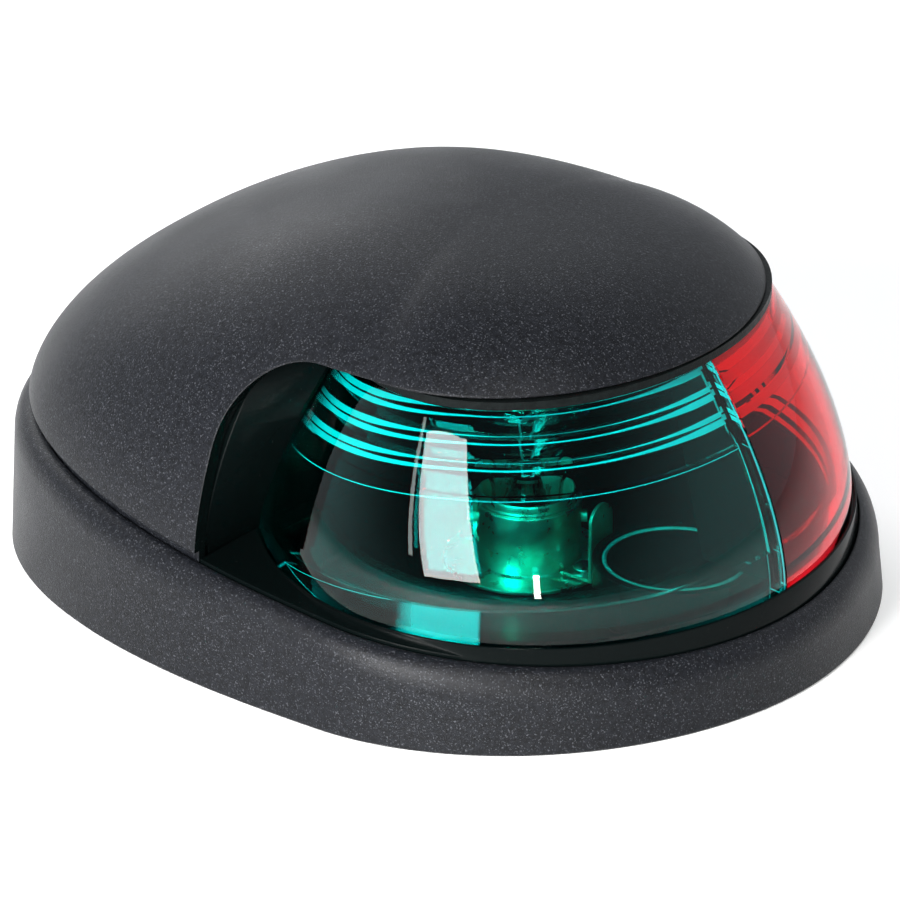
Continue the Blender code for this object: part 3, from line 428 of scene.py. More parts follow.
class NodeBook:
    """A material's node tree, with short ways to add and join nodes."""

    def __init__(self, name: str) -> None:
        """Start a material that holds one Principled shader and its output.

        Args:
            name: The material's name.
        """
        self.material = bpy.data.materials.new(name)
        self.material.use_nodes = True
        self.tree = self.material.node_tree
        self.shader = self.tree.nodes["Principled BSDF"]
        self.output = self.tree.nodes["Material Output"]
        self.place = self.add("ShaderNodeTexCoord").outputs["Object"]

    def add(self, kind: str, **settings: object) -> bpy.types.Node:
        """Add a node and set its plain properties.

        Args:
            kind: Blender's name of the node.
            settings: Its properties.

        Returns:
            The node.
        """
        node = self.tree.nodes.new(kind)
        for key, value in settings.items():
            setattr(node, key, value)
        return node

    def join(self, source: bpy.types.NodeSocket, target: bpy.types.NodeSocket) -> None:
        """Link one socket to another."""
        self.tree.links.new(source, target)

    def set(self, **values: object) -> None:
        """Set the shader's sockets.

        Args:
            values: The sockets' values, named with underscores for spaces.
        """
        for key, value in values.items():
            self.shader.inputs[key.replace("_", " ")].default_value = value

    def noise(self, size: float, detail: float = 2.0, roughness: float = 0.5) -> bpy.types.NodeSocket:
        """Noise whose features are about size metres across.

        Args:
            size: Feature size in metres.
            detail: Octaves.
            roughness: Weight of the finer octaves.

        Returns:
            The noise's grey value.
        """
        node = self.add("ShaderNodeTexNoise")
        node.inputs["Scale"].default_value = 1.0 / size
        node.inputs["Detail"].default_value = detail
        node.inputs["Roughness"].default_value = roughness
        self.join(self.place, node.inputs["Vector"])
        return node.outputs["Fac"]

    def cells(self, size: float) -> bpy.types.NodeSocket:
        """Distance to the nearest of many small cells' centres.

        Args:
            size: Metres between the centres.

        Returns:
            The distance's grey value.
        """
        node = self.add("ShaderNodeTexVoronoi")
        node.inputs["Scale"].default_value = 1.0 / size
        self.join(self.place, node.inputs["Vector"])
        return node.outputs["Distance"]

    def remap(
        self, value: bpy.types.NodeSocket, low: float, high: float, to_low: float = 0.0, to_high: float = 1.0
    ) -> bpy.types.NodeSocket:
        """Stretch and clamp a grey value.

        Args:
            value: The value.
            low: Input taken as the bottom.
            high: Input taken as the top.
            to_low: Result at the bottom.
            to_high: Result at the top.

        Returns:
            The stretched value.
        """
        node = self.add("ShaderNodeMapRange")
        for key, number in (("From Min", low), ("From Max", high), ("To Min", to_low), ("To Max", to_high)):
            node.inputs[key].default_value = number
        self.join(value, node.inputs["Value"])
        return node.outputs["Result"]

    def blend(
        self, share: bpy.types.NodeSocket, first: Sequence[float], second: Sequence[float]
    ) -> bpy.types.NodeSocket:
        """Mix two colours by a grey value.

        Args:
            share: The grey value.
            first: Colour at 0.
            second: Colour at 1.

        Returns:
            The mixed colour.
        """
        node = self.add("ShaderNodeMix", data_type="RGBA")
        self.join(share, node.inputs["Factor"])
        node.inputs[6].default_value = (*first, 1.0)
        node.inputs[7].default_value = (*second, 1.0)
        return node.outputs[2]

    def bump(
        self, height: bpy.types.NodeSocket, depth: float, under: Optional[bpy.types.NodeSocket] = None
    ) -> bpy.types.NodeSocket:
        """Bump of a real depth in metres.

        Args:
            height: The grey height.
            depth: Metres from its bottom to its top.
            under: A normal that it lies on.

        Returns:
            The bumped normal.
        """
        node = self.add("ShaderNodeBump")
        node.inputs["Distance"].default_value = depth
        self.join(height, node.inputs["Height"])
        if under is not None:
            self.join(under, node.inputs["Normal"])
        return node.outputs["Normal"]

    def soft_edges(self, radius: float) -> bpy.types.NodeSocket:
        """A normal that rounds sharp edges.

        Args:
            radius: The round's radius in metres.

        Returns:
            The rounded normal.
        """
        node = self.add("ShaderNodeBevel", samples=6)
        node.inputs["Radius"].default_value = radius
        return node.outputs["Normal"]

    def math(self, operation: str, first: object, *more: object) -> bpy.types.NodeSocket:
        """Sum, product or another function of sockets and plain numbers.

        Args:
            operation: Blender's name of the function.
            first: The first socket or number.
            more: The others.

        Returns:
            The result.
        """
        node = self.add("ShaderNodeMath", operation=operation)
        for slot, value in zip(node.inputs, (first, *more)):
            if isinstance(value, bpy.types.NodeSocket):
                self.join(value, slot)
            else:
                slot.default_value = value
        return node.outputs[0]

    def feed(self, socket: str, value: bpy.types.NodeSocket) -> None:
        """Link a value to one of the shader's sockets."""
        self.join(value, self.shader.inputs[socket])

    def clear_to_lamps(self, surface: bpy.types.NodeSocket, tint: Sequence[float] = (1.0, 1.0, 1.0)) -> None:
        """Put a clear surface on the material that lets lamplight straight through, tinted.

        Args:
            surface: The shader that is seen.
            tint: The colour that lamplight takes on the way.
        """
        shade = self.add("ShaderNodeBsdfTransparent")
        shade.inputs["Color"].default_value = (*tint, 1.0)
        path = self.add("ShaderNodeLightPath")
        both = self.add("ShaderNodeMixShader")
        self.join(path.outputs["Is Shadow Ray"], both.inputs[0])
        self.join(surface, both.inputs[1])
        self.join(shade.outputs[0], both.inputs[2])
        self.join(both.outputs[0], self.output.inputs["Surface"])


@dataclass(frozen=True)
class GrainedPlastic:
    """Moulded plastic with a fine tool grain, tiny bright flecks and slightly rubbed patches."""

    name: str
    dark: Point = (0.0025, 0.0030, 0.0042)
    pale: Point = (0.0068, 0.0078, 0.0105)
    fleck: Point = (0.052, 0.055, 0.063)
    grain: Grain = Grain.FINE
    depth: float = 0.00007
    roughness: float = 0.41
    shine: float = 0.17
    edge: float = 0.00045

    def make(self) -> bpy.types.Material:
        """Build the material.

        Returns:
            The material.
        """
        book = NodeBook(self.name)
        grain = book.noise(self.grain.value, 3.0, 0.62)
        mottle = book.noise(self.grain.value * 2.6, 2.0, 0.5)
        patch = book.noise(0.018, 2.0, 0.5)
        tone = book.blend(book.remap(mottle, 0.35, 0.68), self.dark, self.pale)
        specks = book.remap(book.noise(self.grain.value * 0.9, 1.0, 0.4), 0.60, 0.76)
        mix = book.add("ShaderNodeMix", data_type="RGBA")
        book.join(specks, mix.inputs["Factor"])
        book.join(tone, mix.inputs[6])
        mix.inputs[7].default_value = (*self.fleck, 1.0)
        book.feed("Base Color", mix.outputs[2])
        book.feed("Roughness", book.remap(patch, 0.3, 0.7, self.roughness - 0.04, self.roughness + 0.05))
        book.set(Specular_IOR_Level=self.shine)
        book.feed("Normal", book.bump(grain, self.depth, book.soft_edges(self.edge)))
        return book.material


@dataclass(frozen=True)
class PolishedPlastic:
    """Glossy moulded plastic with faint waviness, dust and hairline rubbing."""

    name: str
    colour: Point = (0.0016, 0.0030, 0.0030)
    roughness: float = 0.14
    dust: Point = (0.02, 0.02, 0.02)
    shine: float = 0.05
    edge: float = 0.00030

    def make(self) -> bpy.types.Material:
        """Build the material.

        Returns:
            The material.
        """
        book = NodeBook(self.name)
        specks = book.remap(book.noise(0.0007, 2.0, 0.6), 0.71, 0.78, 0.0, 0.55)
        book.feed("Base Color", book.blend(specks, self.colour, self.dust))
        rub = book.remap(book.noise(0.006, 4.0, 0.65), 0.3, 0.75, self.roughness * 0.7, self.roughness * 1.5)
        book.feed("Roughness", rub)
        book.set(IOR=1.49, Specular_IOR_Level=self.shine)
        book.feed("Normal", book.bump(book.noise(0.009, 1.0, 0.4), 0.00003, book.soft_edges(self.edge)))
        return book.material


@dataclass(frozen=True)
class HighlightBand:
    """One painted highlight band along a rib: its height, and its half height at the lens's ends and middle.
    """

    height: float
    ends: float
    middle: float


@dataclass(frozen=True)
class TintedLens:
    """Clear tinted moulding: polished faces, faint moulding swirl, scuffs and dust; where given, painted
    highlights on the inner face: glowing rib bands, seam lines and a pool of light at the foot.
    """

    name: str
    tint: Point
    scuff: Point
    glow: Point
    highlight_bands: tuple[HighlightBand, ...] = ()
    fade: tuple[float, float] = (1.98, 2.20)
    droop: float = 0.0045
    seam_highlights: tuple[tuple[float, float], ...] = ()
    painted_light_pool: Optional[tuple[float, float, float]] = None
    roughness: float = 0.006
    middle: float = 0.98
    past: float = 1.309
    band_blur: float = 0.00010
    seam_blur: float = 0.00008

    def painted_highlight_mask(self, book: NodeBook) -> bpy.types.NodeSocket:
        """Mask of the painted highlights: rib bands, which narrow towards the middle of each half, a painted
        pool of light at the foot and bright lines along the seam.

        Args:
            book: The material being built.

        Returns:
            The mask.
        """
        split = book.add("ShaderNodeSeparateXYZ")
        book.join(book.place, split.inputs[0])
        shifted = book.math("SUBTRACT", split.outputs["X"], HULL.lens_x)
        side = book.math("ABSOLUTE", split.outputs["Y"])
        turn = book.math("ARCTAN2", side, shifted)
        off_middle = book.math("ABSOLUTE", book.math("SUBTRACT", turn, self.middle))
        off_middle = book.math("MULTIPLY", off_middle, 1.30)
        bend = book.math("MINIMUM", book.math("POWER", off_middle, 2.2), 1.0)
        ahead = book.remap(turn, self.fade[0], self.fade[1], 1.0, 0.0)
        past = book.math("MAXIMUM", book.math("SUBTRACT", turn, self.past), 0.0)
        height = book.math("MULTIPLY_ADD", book.math("POWER", past, 1.4), self.droop, split.outputs["Z"])
        total = None
        # Painted highlight bands where the ribs would catch the light.
        for band in self.highlight_bands:
            half = book.math("MULTIPLY_ADD", bend, band.ends - band.middle, band.middle)
            away = book.math("ABSOLUTE", book.math("SUBTRACT", height, band.height))
            inside = book.math("DIVIDE", book.math("SUBTRACT", half, away), self.band_blur)
            share = book.math("MAXIMUM", book.math("MINIMUM", inside, 1.0), 0.0)
            total = share if total is None else book.math("MAXIMUM", total, share)
        if total is not None:
            total = book.math("MULTIPLY", total, ahead)
        # Painted pool of light: a half-bright patch on the foot flange.
        if self.painted_light_pool:
            start, end, top = self.painted_light_pool
            low = book.remap(split.outputs["Z"], top - 0.0001, top, 0.5, 0.0)
            near = book.math("MULTIPLY", book.remap(turn, start, start + 0.01), low)
            patch = book.math("MULTIPLY", book.remap(turn, end - 0.06, end, 1.0, 0.0), near)
            total = patch if total is None else book.math("MAXIMUM", total, patch)
        # Painted highlight lines along the seam flange.
        for line, half in self.seam_highlights:
            away = book.math("ABSOLUTE", book.math("SUBTRACT", side, line))
            inside = book.math("DIVIDE", book.math("SUBTRACT", half, away), self.seam_blur)
            share = book.math("MAXIMUM", book.math("MINIMUM", inside, 0.9), 0.0)
            total = share if total is None else book.math("MAXIMUM", total, share)
        return total

    def make(self) -> bpy.types.Material:
        """Build the material. Light that goes to the inside is tinted too.

        Returns:
            The material.
        """
        book = NodeBook(self.name)
        specks = book.remap(book.noise(0.00055, 1.0, 0.5), 0.745, 0.80, 0.0, 0.55)
        book.feed("Base Color", book.blend(specks, self.tint, self.scuff))
        haze = book.remap(book.noise(0.007, 3.0, 0.6), 0.45, 0.8, self.roughness, self.roughness * 3.0)
        book.feed("Roughness", haze)
        book.set(Transmission_Weight=1.0, IOR=1.31)
        book.feed("Normal", book.bump(book.noise(0.011, 1.0, 0.4), 0.000012))
        surface = book.shader.outputs[0]
        if self.highlight_bands or self.seam_highlights:
            # Painted highlight: where the mask is set, a bright shader with a faint emission takes the place
            # of the clear lens, so ribs and seam glow though they are no lamp.
            bright = book.add("ShaderNodeBsdfPrincipled")
            bright.inputs["Base Color"].default_value = (*self.glow, 1.0)
            bright.inputs["Roughness"].default_value = 0.22
            bright.inputs["Emission Color"].default_value = (*self.glow, 1.0)
            bright.inputs["Emission Strength"].default_value = 0.08
            lit = book.add("ShaderNodeMixShader")
            book.join(self.painted_highlight_mask(book), lit.inputs[0])
            book.join(surface, lit.inputs[1])
            book.join(bright.outputs[0], lit.inputs[2])
            surface = lit.outputs[0]
        book.clear_to_lamps(surface, [c**0.5 for c in self.tint])
        return book.material


@dataclass(frozen=True)
class ClearGlass:
    """Thin blown glass with slight waviness."""

    name: str
    colour: Point = (0.97, 0.98, 0.98)
    cloud: Point = (0.93, 0.95, 0.95)

    def make(self) -> bpy.types.Material:
        """Build the material.

        Returns:
            The material.
        """
        book = NodeBook(self.name)
        book.feed("Base Color", book.blend(book.remap(book.noise(0.004), 0.35, 0.7), self.colour, self.cloud))
        book.set(Transmission_Weight=1.0, IOR=1.5, Roughness=0.01)
        book.feed("Normal", book.bump(book.noise(0.005, 1.0, 0.4), 0.00003))
        book.clear_to_lamps(book.shader.outputs[0])
        return book.material


@dataclass(frozen=True)
class PlatedMetal:
    """Drawn or plated metal: tone and roughness vary with tarnish, with faint drawing marks."""

    name: str
    bright: Point
    dull: Point
    roughness: float = 0.22

    def make(self) -> bpy.types.Material:
        """Build the material.

        Returns:
            The material.
        """
        book = NodeBook(self.name)
        tarnish = book.noise(0.0035, 4.0, 0.6)
        book.feed("Base Color", book.blend(book.remap(tarnish, 0.35, 0.7), self.bright, self.dull))
        book.feed("Roughness", book.remap(tarnish, 0.3, 0.75, self.roughness * 0.7, self.roughness * 1.6))
        book.set(Metallic=1.0)
        book.feed("Normal", book.bump(book.noise(0.0006, 2.0, 0.6), 0.00001, book.soft_edges(0.00012)))
        return book.material


@dataclass(frozen=True)
class SoftPlain:
    """Rubber, foam, board or solder: a dull, slightly uneven surface."""

    name: str
    dark: Point
    pale: Point
    roughness: float = 0.7
    grain: Grain = Grain.FINE
    depth: float = 0.00004
    metallic: float = 0.0
    shine: float = 0.5

    def make(self) -> bpy.types.Material:
        """Build the material.

        Returns:
            The material.
        """
        book = NodeBook(self.name)
        cloud = book.noise(self.grain.value * 4, 3.0, 0.6)
        book.feed("Base Color", book.blend(book.remap(cloud, 0.3, 0.7), self.dark, self.pale))
        book.feed("Roughness", book.remap(cloud, 0.3, 0.7, self.roughness - 0.08, self.roughness + 0.08))
        book.set(Metallic=self.metallic, Specular_IOR_Level=self.shine)
        book.feed("Normal", book.bump(book.cells(self.grain.value), self.depth))
        return book.material


GREEN_TINT: Point = (0.0, 0.66, 0.60)
RED_TINT: Point = (0.82, 0.014, 0.026)
# Colours of the painted highlights on the lenses' inner faces.
GREEN_PAINTED_HIGHLIGHT: Point = (0.006, 0.36, 0.38)
RED_PAINTED_HIGHLIGHT: Point = (0.48, 0.012, 0.018)
GREEN_SCUFF: Point = (0.35, 0.85, 0.80)
RED_SCUFF: Point = (0.95, 0.45, 0.45)
# Where the painted highlight lines along the seam lie: distance from the seam, and half width.
OUTER_SEAM_HIGHLIGHT = ((0.00050, 0.00020),)
INNER_SEAM_HIGHLIGHT = ((0.00145, 0.00022),)
# Where the painted pool of light at the foot lies: start and end angle, and top height.
FOOT_PAINTED_LIGHT_POOL = (1.19, 1.47, 0.0200)
# Painted highlight bands on the ribs: height, and half height at the ends and in the middle.
GREEN_HIGHLIGHT_BANDS = (
    HighlightBand(0.04785, 0.00042, 0.00005),
    HighlightBand(0.04685, 0.00042, 0.00009),
    HighlightBand(0.04435, 0.00044, 0.00006),
    HighlightBand(0.04330, 0.00044, 0.00012),
    HighlightBand(0.04085, 0.00044, 0.00006),
    HighlightBand(0.03985, 0.00044, 0.00014),
    HighlightBand(0.03600, 0.00011, 0.00011),
    HighlightBand(0.02030, 0.00008, 0.00008),
)
RED_HIGHLIGHT_BANDS = (
    HighlightBand(0.04740, 0.00100, 0.00100),
    HighlightBand(0.04440, 0.00085, 0.00085),
    HighlightBand(0.04190, 0.00085, 0.00085),
    HighlightBand(0.03960, 0.00060, 0.00060),
)


class Finishes:
    """Every finish of the light, made once, with the record's slot that each belongs to."""

    def __init__(self) -> None:
        """Make the materials."""
        kinds = {
            "charcoal_plastic": GrainedPlastic("grained_charcoal_plastic"),
            "gloss_black": PolishedPlastic("polished_black_plastic"),
            "green_lens": TintedLens(
                "clear_green_moulding", GREEN_TINT, GREEN_SCUFF, GREEN_PAINTED_HIGHLIGHT, seam_highlights=OUTER_SEAM_HIGHLIGHT
            ),
            "red_lens": TintedLens("clear_red_moulding", RED_TINT, RED_SCUFF, RED_PAINTED_HIGHLIGHT),
            "clear_glass": ClearGlass("clear_bulb_glass"),
            "nickel_plate": PlatedMetal("nickel_plate", (0.86, 0.82, 0.68), (0.62, 0.56, 0.42), 0.30),
            "brass": PlatedMetal("stamped_brass", (0.75, 0.56, 0.28), (0.50, 0.34, 0.15)),
            "spring_steel": PlatedMetal("spring_steel", (0.55, 0.55, 0.56), (0.33, 0.33, 0.34)),
            "tungsten": PlatedMetal("tungsten_wire", (0.32, 0.32, 0.33), (0.18, 0.18, 0.19), 0.4),
            "solder": SoftPlain("dull_solder", (0.40, 0.40, 0.41), (0.58, 0.58, 0.60), 0.38, metallic=1.0),
            "black_glass": PolishedPlastic("black_cap_glass", (0.006, 0.006, 0.006), 0.08),
            "black_rubber": SoftPlain(
                "black_rubber", (0.0025, 0.0035, 0.0035), (0.005, 0.007, 0.007), 0.40, shine=0.05
            ),
            "foam": SoftPlain(
                "closed_cell_foam", (0.014, 0.014, 0.015), (0.035, 0.035, 0.036), 0.85, Grain.FOAM, 0.00022
            ),
            "phenolic": SoftPlain("phenolic_board", (0.10, 0.04, 0.016), (0.19, 0.085, 0.035), 0.55),
        }
        self.made = {slot: kind.make() for slot, kind in kinds.items()}
        # A lighter polished plastic for the top of the plug's rim bead: a painted highlight for light caught
        # by the bead.
        self.rim = PolishedPlastic("plug_rim_painted_highlight", (0.16, 0.19, 0.19), 0.25, (0.3, 0.3, 0.3), 0.6).make()
        # Inner faces of the lenses, with the painted highlights.
        self.ribbed = {
            "green_lens": TintedLens(
                "ribbed_green_moulding_painted_highlights",
                GREEN_TINT,
                GREEN_SCUFF,
                GREEN_PAINTED_HIGHLIGHT,
                GREEN_HIGHLIGHT_BANDS,
                seam_highlights=INNER_SEAM_HIGHLIGHT,
                painted_light_pool=FOOT_PAINTED_LIGHT_POOL,
            ).make(),
            "red_lens": TintedLens(
                "ribbed_red_moulding_painted_highlights", RED_TINT, RED_SCUFF, RED_PAINTED_HIGHLIGHT, RED_HIGHLIGHT_BANDS, fade=(2.4, 2.6)
            ).make(),
        }

    def dress(
        self, piece: bpy.types.Object, slot: str, body: str, stands_for: Sequence[str] = ()
    ) -> bpy.types.Object:
        """Give a new piece its finish, its body and the solids that it stands for.

        Args:
            piece: The piece.
            slot: The record's material slot.
            body: The body that it rides on.
            stands_for: Solids that it replaces in view.

        Returns:
            The piece.
        """
        piece.data.materials.clear()
        piece.data.materials.append(self.made[slot])
        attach(piece, body)
        if stands_for:
            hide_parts(*stands_for)
        LOG.info("%s: %d faces, rides on %s", piece.name, len(piece.data.polygons), body)
        return piece

    def repaint(self, node: str, obj: bpy.types.Object, slot: str) -> None:
        """Give a solid that stays in view its finish.

        Args:
            node: The solid's node.
            obj: Its object.
            slot: The record's material slot.
        """
        obj.data.materials.clear()
        obj.data.materials.append(self.made[slot])
        LOG.info("%s keeps its solid, in %s", node, slot)


# ---------------------------------------------------------------- base


@dataclass
class BaseShell:
    """The base with its foot, round shoulder, rebate, floor, bosses and holes."""

    finishes: Finishes
    around: int = 224
    draft: float = 0.0007
    shoulder: float = 0.0050
    shoulder_steps: int = 12
    foot: float = 0.0042
    chamfer: float = 0.0004
    under: float = 0.0030
    floor: float = 0.0050
    rebate: float = 0.0023
    rebate_width: float = 0.0024
    boss_x: float = 0.0435
    boss_top: float = 0.0136
    plug_radius: float = 0.0110
    plug_seat: float = 0.0014
    plug_ledge: float = 0.0015
    boss_wall: float = 0.0015
    rear_boss: tuple[float, float] = (-0.0420, 0.0260)
    rear_boss_radius: float = 0.0058
    rear_boss_top: float = 0.0095
    hole: float = 0.0023
    grommet_x: float = -0.0290
    grommet_hole: float = 0.0056
    bulb_x: float = 0.0158
    socket_hole: float = 0.0085
    rivet_circle: float = 0.0110
    rivet_hole: float = 0.0013
    through: tuple[float, float] = (-0.02, 0.06)

    def bore(
        self, name: str, radius: float, low: float, high: float, centre: tuple[float, float]
    ) -> bpy.types.Object:
        """An upright round solid for a Boolean.

        Args:
            name: Its name.
            radius: Its radius.
            low: Its bottom.
            high: Its top.
            centre: X and Y of its axis.

        Returns:
            The solid.
        """
        side = [(0.0, high), (radius, high), (radius, low), (0.0, low)]
        return Mesher.turned(name, side, centre, closed=False, steps=64)

    def build(self) -> bpy.types.Object:
        """Make the shell, add the bosses and cut the holes.

        Returns:
            The base.
        """
        outer = self.foot + self.chamfer
        rings = [
            HULL.flat_ring(outer, self.under, self.around),
            HULL.flat_ring(self.foot, 0.0, self.around),
            HULL.flat_ring(self.chamfer, 0.0, self.around),
            HULL.flat_ring(0.0, self.chamfer, self.around),
        ]
        for step in range(self.shoulder_steps + 1):
            turn = math.pi / 2 * step / self.shoulder_steps
            inset = self.draft + (HULL.rim_inset - self.draft) * (1 - math.cos(turn))
            rings.append(HULL.rim_ring(inset, self.shoulder * (math.sin(turn) - 1), self.around))
        inner = HULL.rim_inset + self.rebate_width
        rings.append(HULL.rim_ring(HULL.rim_inset, -self.rebate, self.around))
        rings.append(HULL.rim_ring(inner, -self.rebate, self.around))
        rings.append(HULL.flat_ring(inner + 0.0002, self.floor, self.around))
        base = Mesher.loft("base_shell", rings)
        gap = HULL.gap
        front = (self.boss_x, 0.0)
        rear = {side: (self.rear_boss[0], side.value * self.rear_boss[1]) for side in Side}
        sunk = self.under + gap
        bosses = [self.bore("boss_front", self.plug_radius + self.boss_wall, sunk, self.boss_top, front)]
        for side, place in rear.items():
            name = f"boss_{side.name.lower()}"
            bosses.append(self.bore(name, self.rear_boss_radius, sunk, self.rear_boss_top, place))
        Mesher.cut(base, bosses, "UNION")
        seat, well, above = self.boss_top - self.plug_seat - gap, self.floor + self.boss_wall, 0.04
        cuts = [
            self.bore("cut_seat", self.plug_radius + gap, seat, above, front),
            self.bore("cut_well", self.plug_radius - self.plug_ledge, well, above, front),
            self.bore("cut_front", self.hole, *self.through, front),
            self.bore("cut_grommet", self.grommet_hole, *self.through, (self.grommet_x, 0.0)),
            self.bore("cut_socket", self.socket_hole, *self.through, (self.bulb_x, 0.0)),
        ]
        for side, place in rear.items():
            cuts.append(self.bore(f"cut_{side.name.lower()}", self.hole, *self.through, place))
        for end, offset in (("aft", -self.rivet_circle), ("fore", self.rivet_circle)):
            place = (self.bulb_x + offset, 0.0)
            cuts.append(self.bore(f"cut_rivet_{end}", self.rivet_hole, *self.through, place))
        Mesher.cut(base, cuts)
        self.finishes.dress(base, "charcoal_plastic", "base", ["base"])
        self.polish_floor(base)
        return base

    def polish_floor(self, base: bpy.types.Object) -> None:
        """Give the inside of the base its polished finish, as its moulding tool leaves it.

        Args:
            base: The base.
        """
        base.data.materials.append(self.finishes.made["gloss_black"])
        limit = HULL.rim_inset + self.rebate_width * 0.5
        for face in base.data.polygons:
            x, y, z = face.center
            angle = math.atan2(y, x - HULL.widest_x)
            inside = self.inside(x, y, limit, angle)
            if inside and z > self.under + 0.001 and face.normal.z > -0.5:
                face.material_index = 1

    @staticmethod
    def inside(x: float, y: float, inset: float, angle: float) -> bool:
        """Whether a plan point lies inside the outline.

        Args:
            x: The point's X.
            y: The point's Y.
            inset: Metres that the outline is moved in.
            angle: The point's angle from the bow.

        Returns:
            True inside it.
        """
        ahead = math.cos(angle) > 0
        reach = HULL.length / 2 - HULL.widest_x - inset if ahead else HULL.length / 2 + HULL.widest_x - inset
        power = HULL.bow_power if ahead else HULL.stern_power
        return abs((x - HULL.widest_x) / reach) ** power + abs(y / (HULL.width / 2 - inset)) ** power < 1.0


# ---------------------------------------------------------------- cover


@dataclass
class CoverShell:
    """The domed cover with its skirt and the wide rounded opening for the lens."""

    finishes: Finishes
    around: int = 224
    rows: int = 48
    wall: float = 0.0026
    rebate: float = 0.0023
    corner_steps: int = 24

    def rings(self, inward: float) -> list[Ring]:
        """Rings of the dome from its bottom edge to the crest.

        Args:
            inward: Metres inside the outer surface.

        Returns:
            The rings.
        """
        made = []
        for row in range(self.rows):
            reach = math.cos(math.pi / 2 * row / self.rows)
            made.append([HULL.dome(2 * math.pi * i / self.around, reach, inward) for i in range(self.around)])
        return made

    def outline(self) -> list[tuple[float, float]]:
        """Side view of the opening: visor line, round corner and upright rear edge.

        Returns:
            X and Z pairs.
        """
        far = HULL.length / 2 + 0.02
        points = [(far, -0.02), (far, HULL.visor)]
        for step in range(self.corner_steps + 1):
            turn = math.pi / 2 * step / self.corner_steps
            x = HULL.opening_x + HULL.opening_radius * (1 - math.sin(turn))
            z = HULL.visor - HULL.opening_radius * (1 - math.cos(turn))
            points.append((x, z))
        points.append((HULL.opening_x, -0.02))
        return points

    def build(self) -> bpy.types.Object:
        """Make the dome and cut the opening.

        Returns:
            The cover.
        """
        depth = self.rebate - HULL.gap
        skirt = HULL.rim_inset + HULL.gap
        inner = HULL.cover_inset + self.wall
        rings = list(reversed(self.rings(0.0)))
        rings.append(HULL.rim_ring(skirt, HULL.cover_lift, self.around))
        rings.append(HULL.rim_ring(skirt, -depth, self.around))
        rings.append(HULL.rim_ring(inner, -depth, self.around))
        rings += self.rings(self.wall)
        cover = Mesher.loft("cover_shell", rings)
        Mesher.cut(cover, [Mesher.prism("opening", self.outline(), HULL.width)])
        self.finishes.dress(cover, "charcoal_plastic", "cover", ["cover"])
        self.polish_opening(cover)
        return cover

    def polish_opening(self, cover: bpy.types.Object) -> None:
        """Give the cut edge of the opening and the inside of the dome a smooth finish.

        Args:
            cover: The cover.
        """
        cover.data.materials.append(self.finishes.made["gloss_black"])
        for face in cover.data.polygons:
            x, y, z = face.center
            flat = abs(face.normal.y) < 0.05 and x > HULL.opening_x - 0.0005
            on_edge = flat and z < HULL.visor + 0.0002 and (face.normal.x > 0.3 or face.normal.z < -0.3)
            outward = Vector((x - HULL.widest_x, y, z - 0.02)).normalized()
            if on_edge or face.normal.dot(outward) < -0.35:
                face.material_index = 1


# ---------------------------------------------------------------- lenses


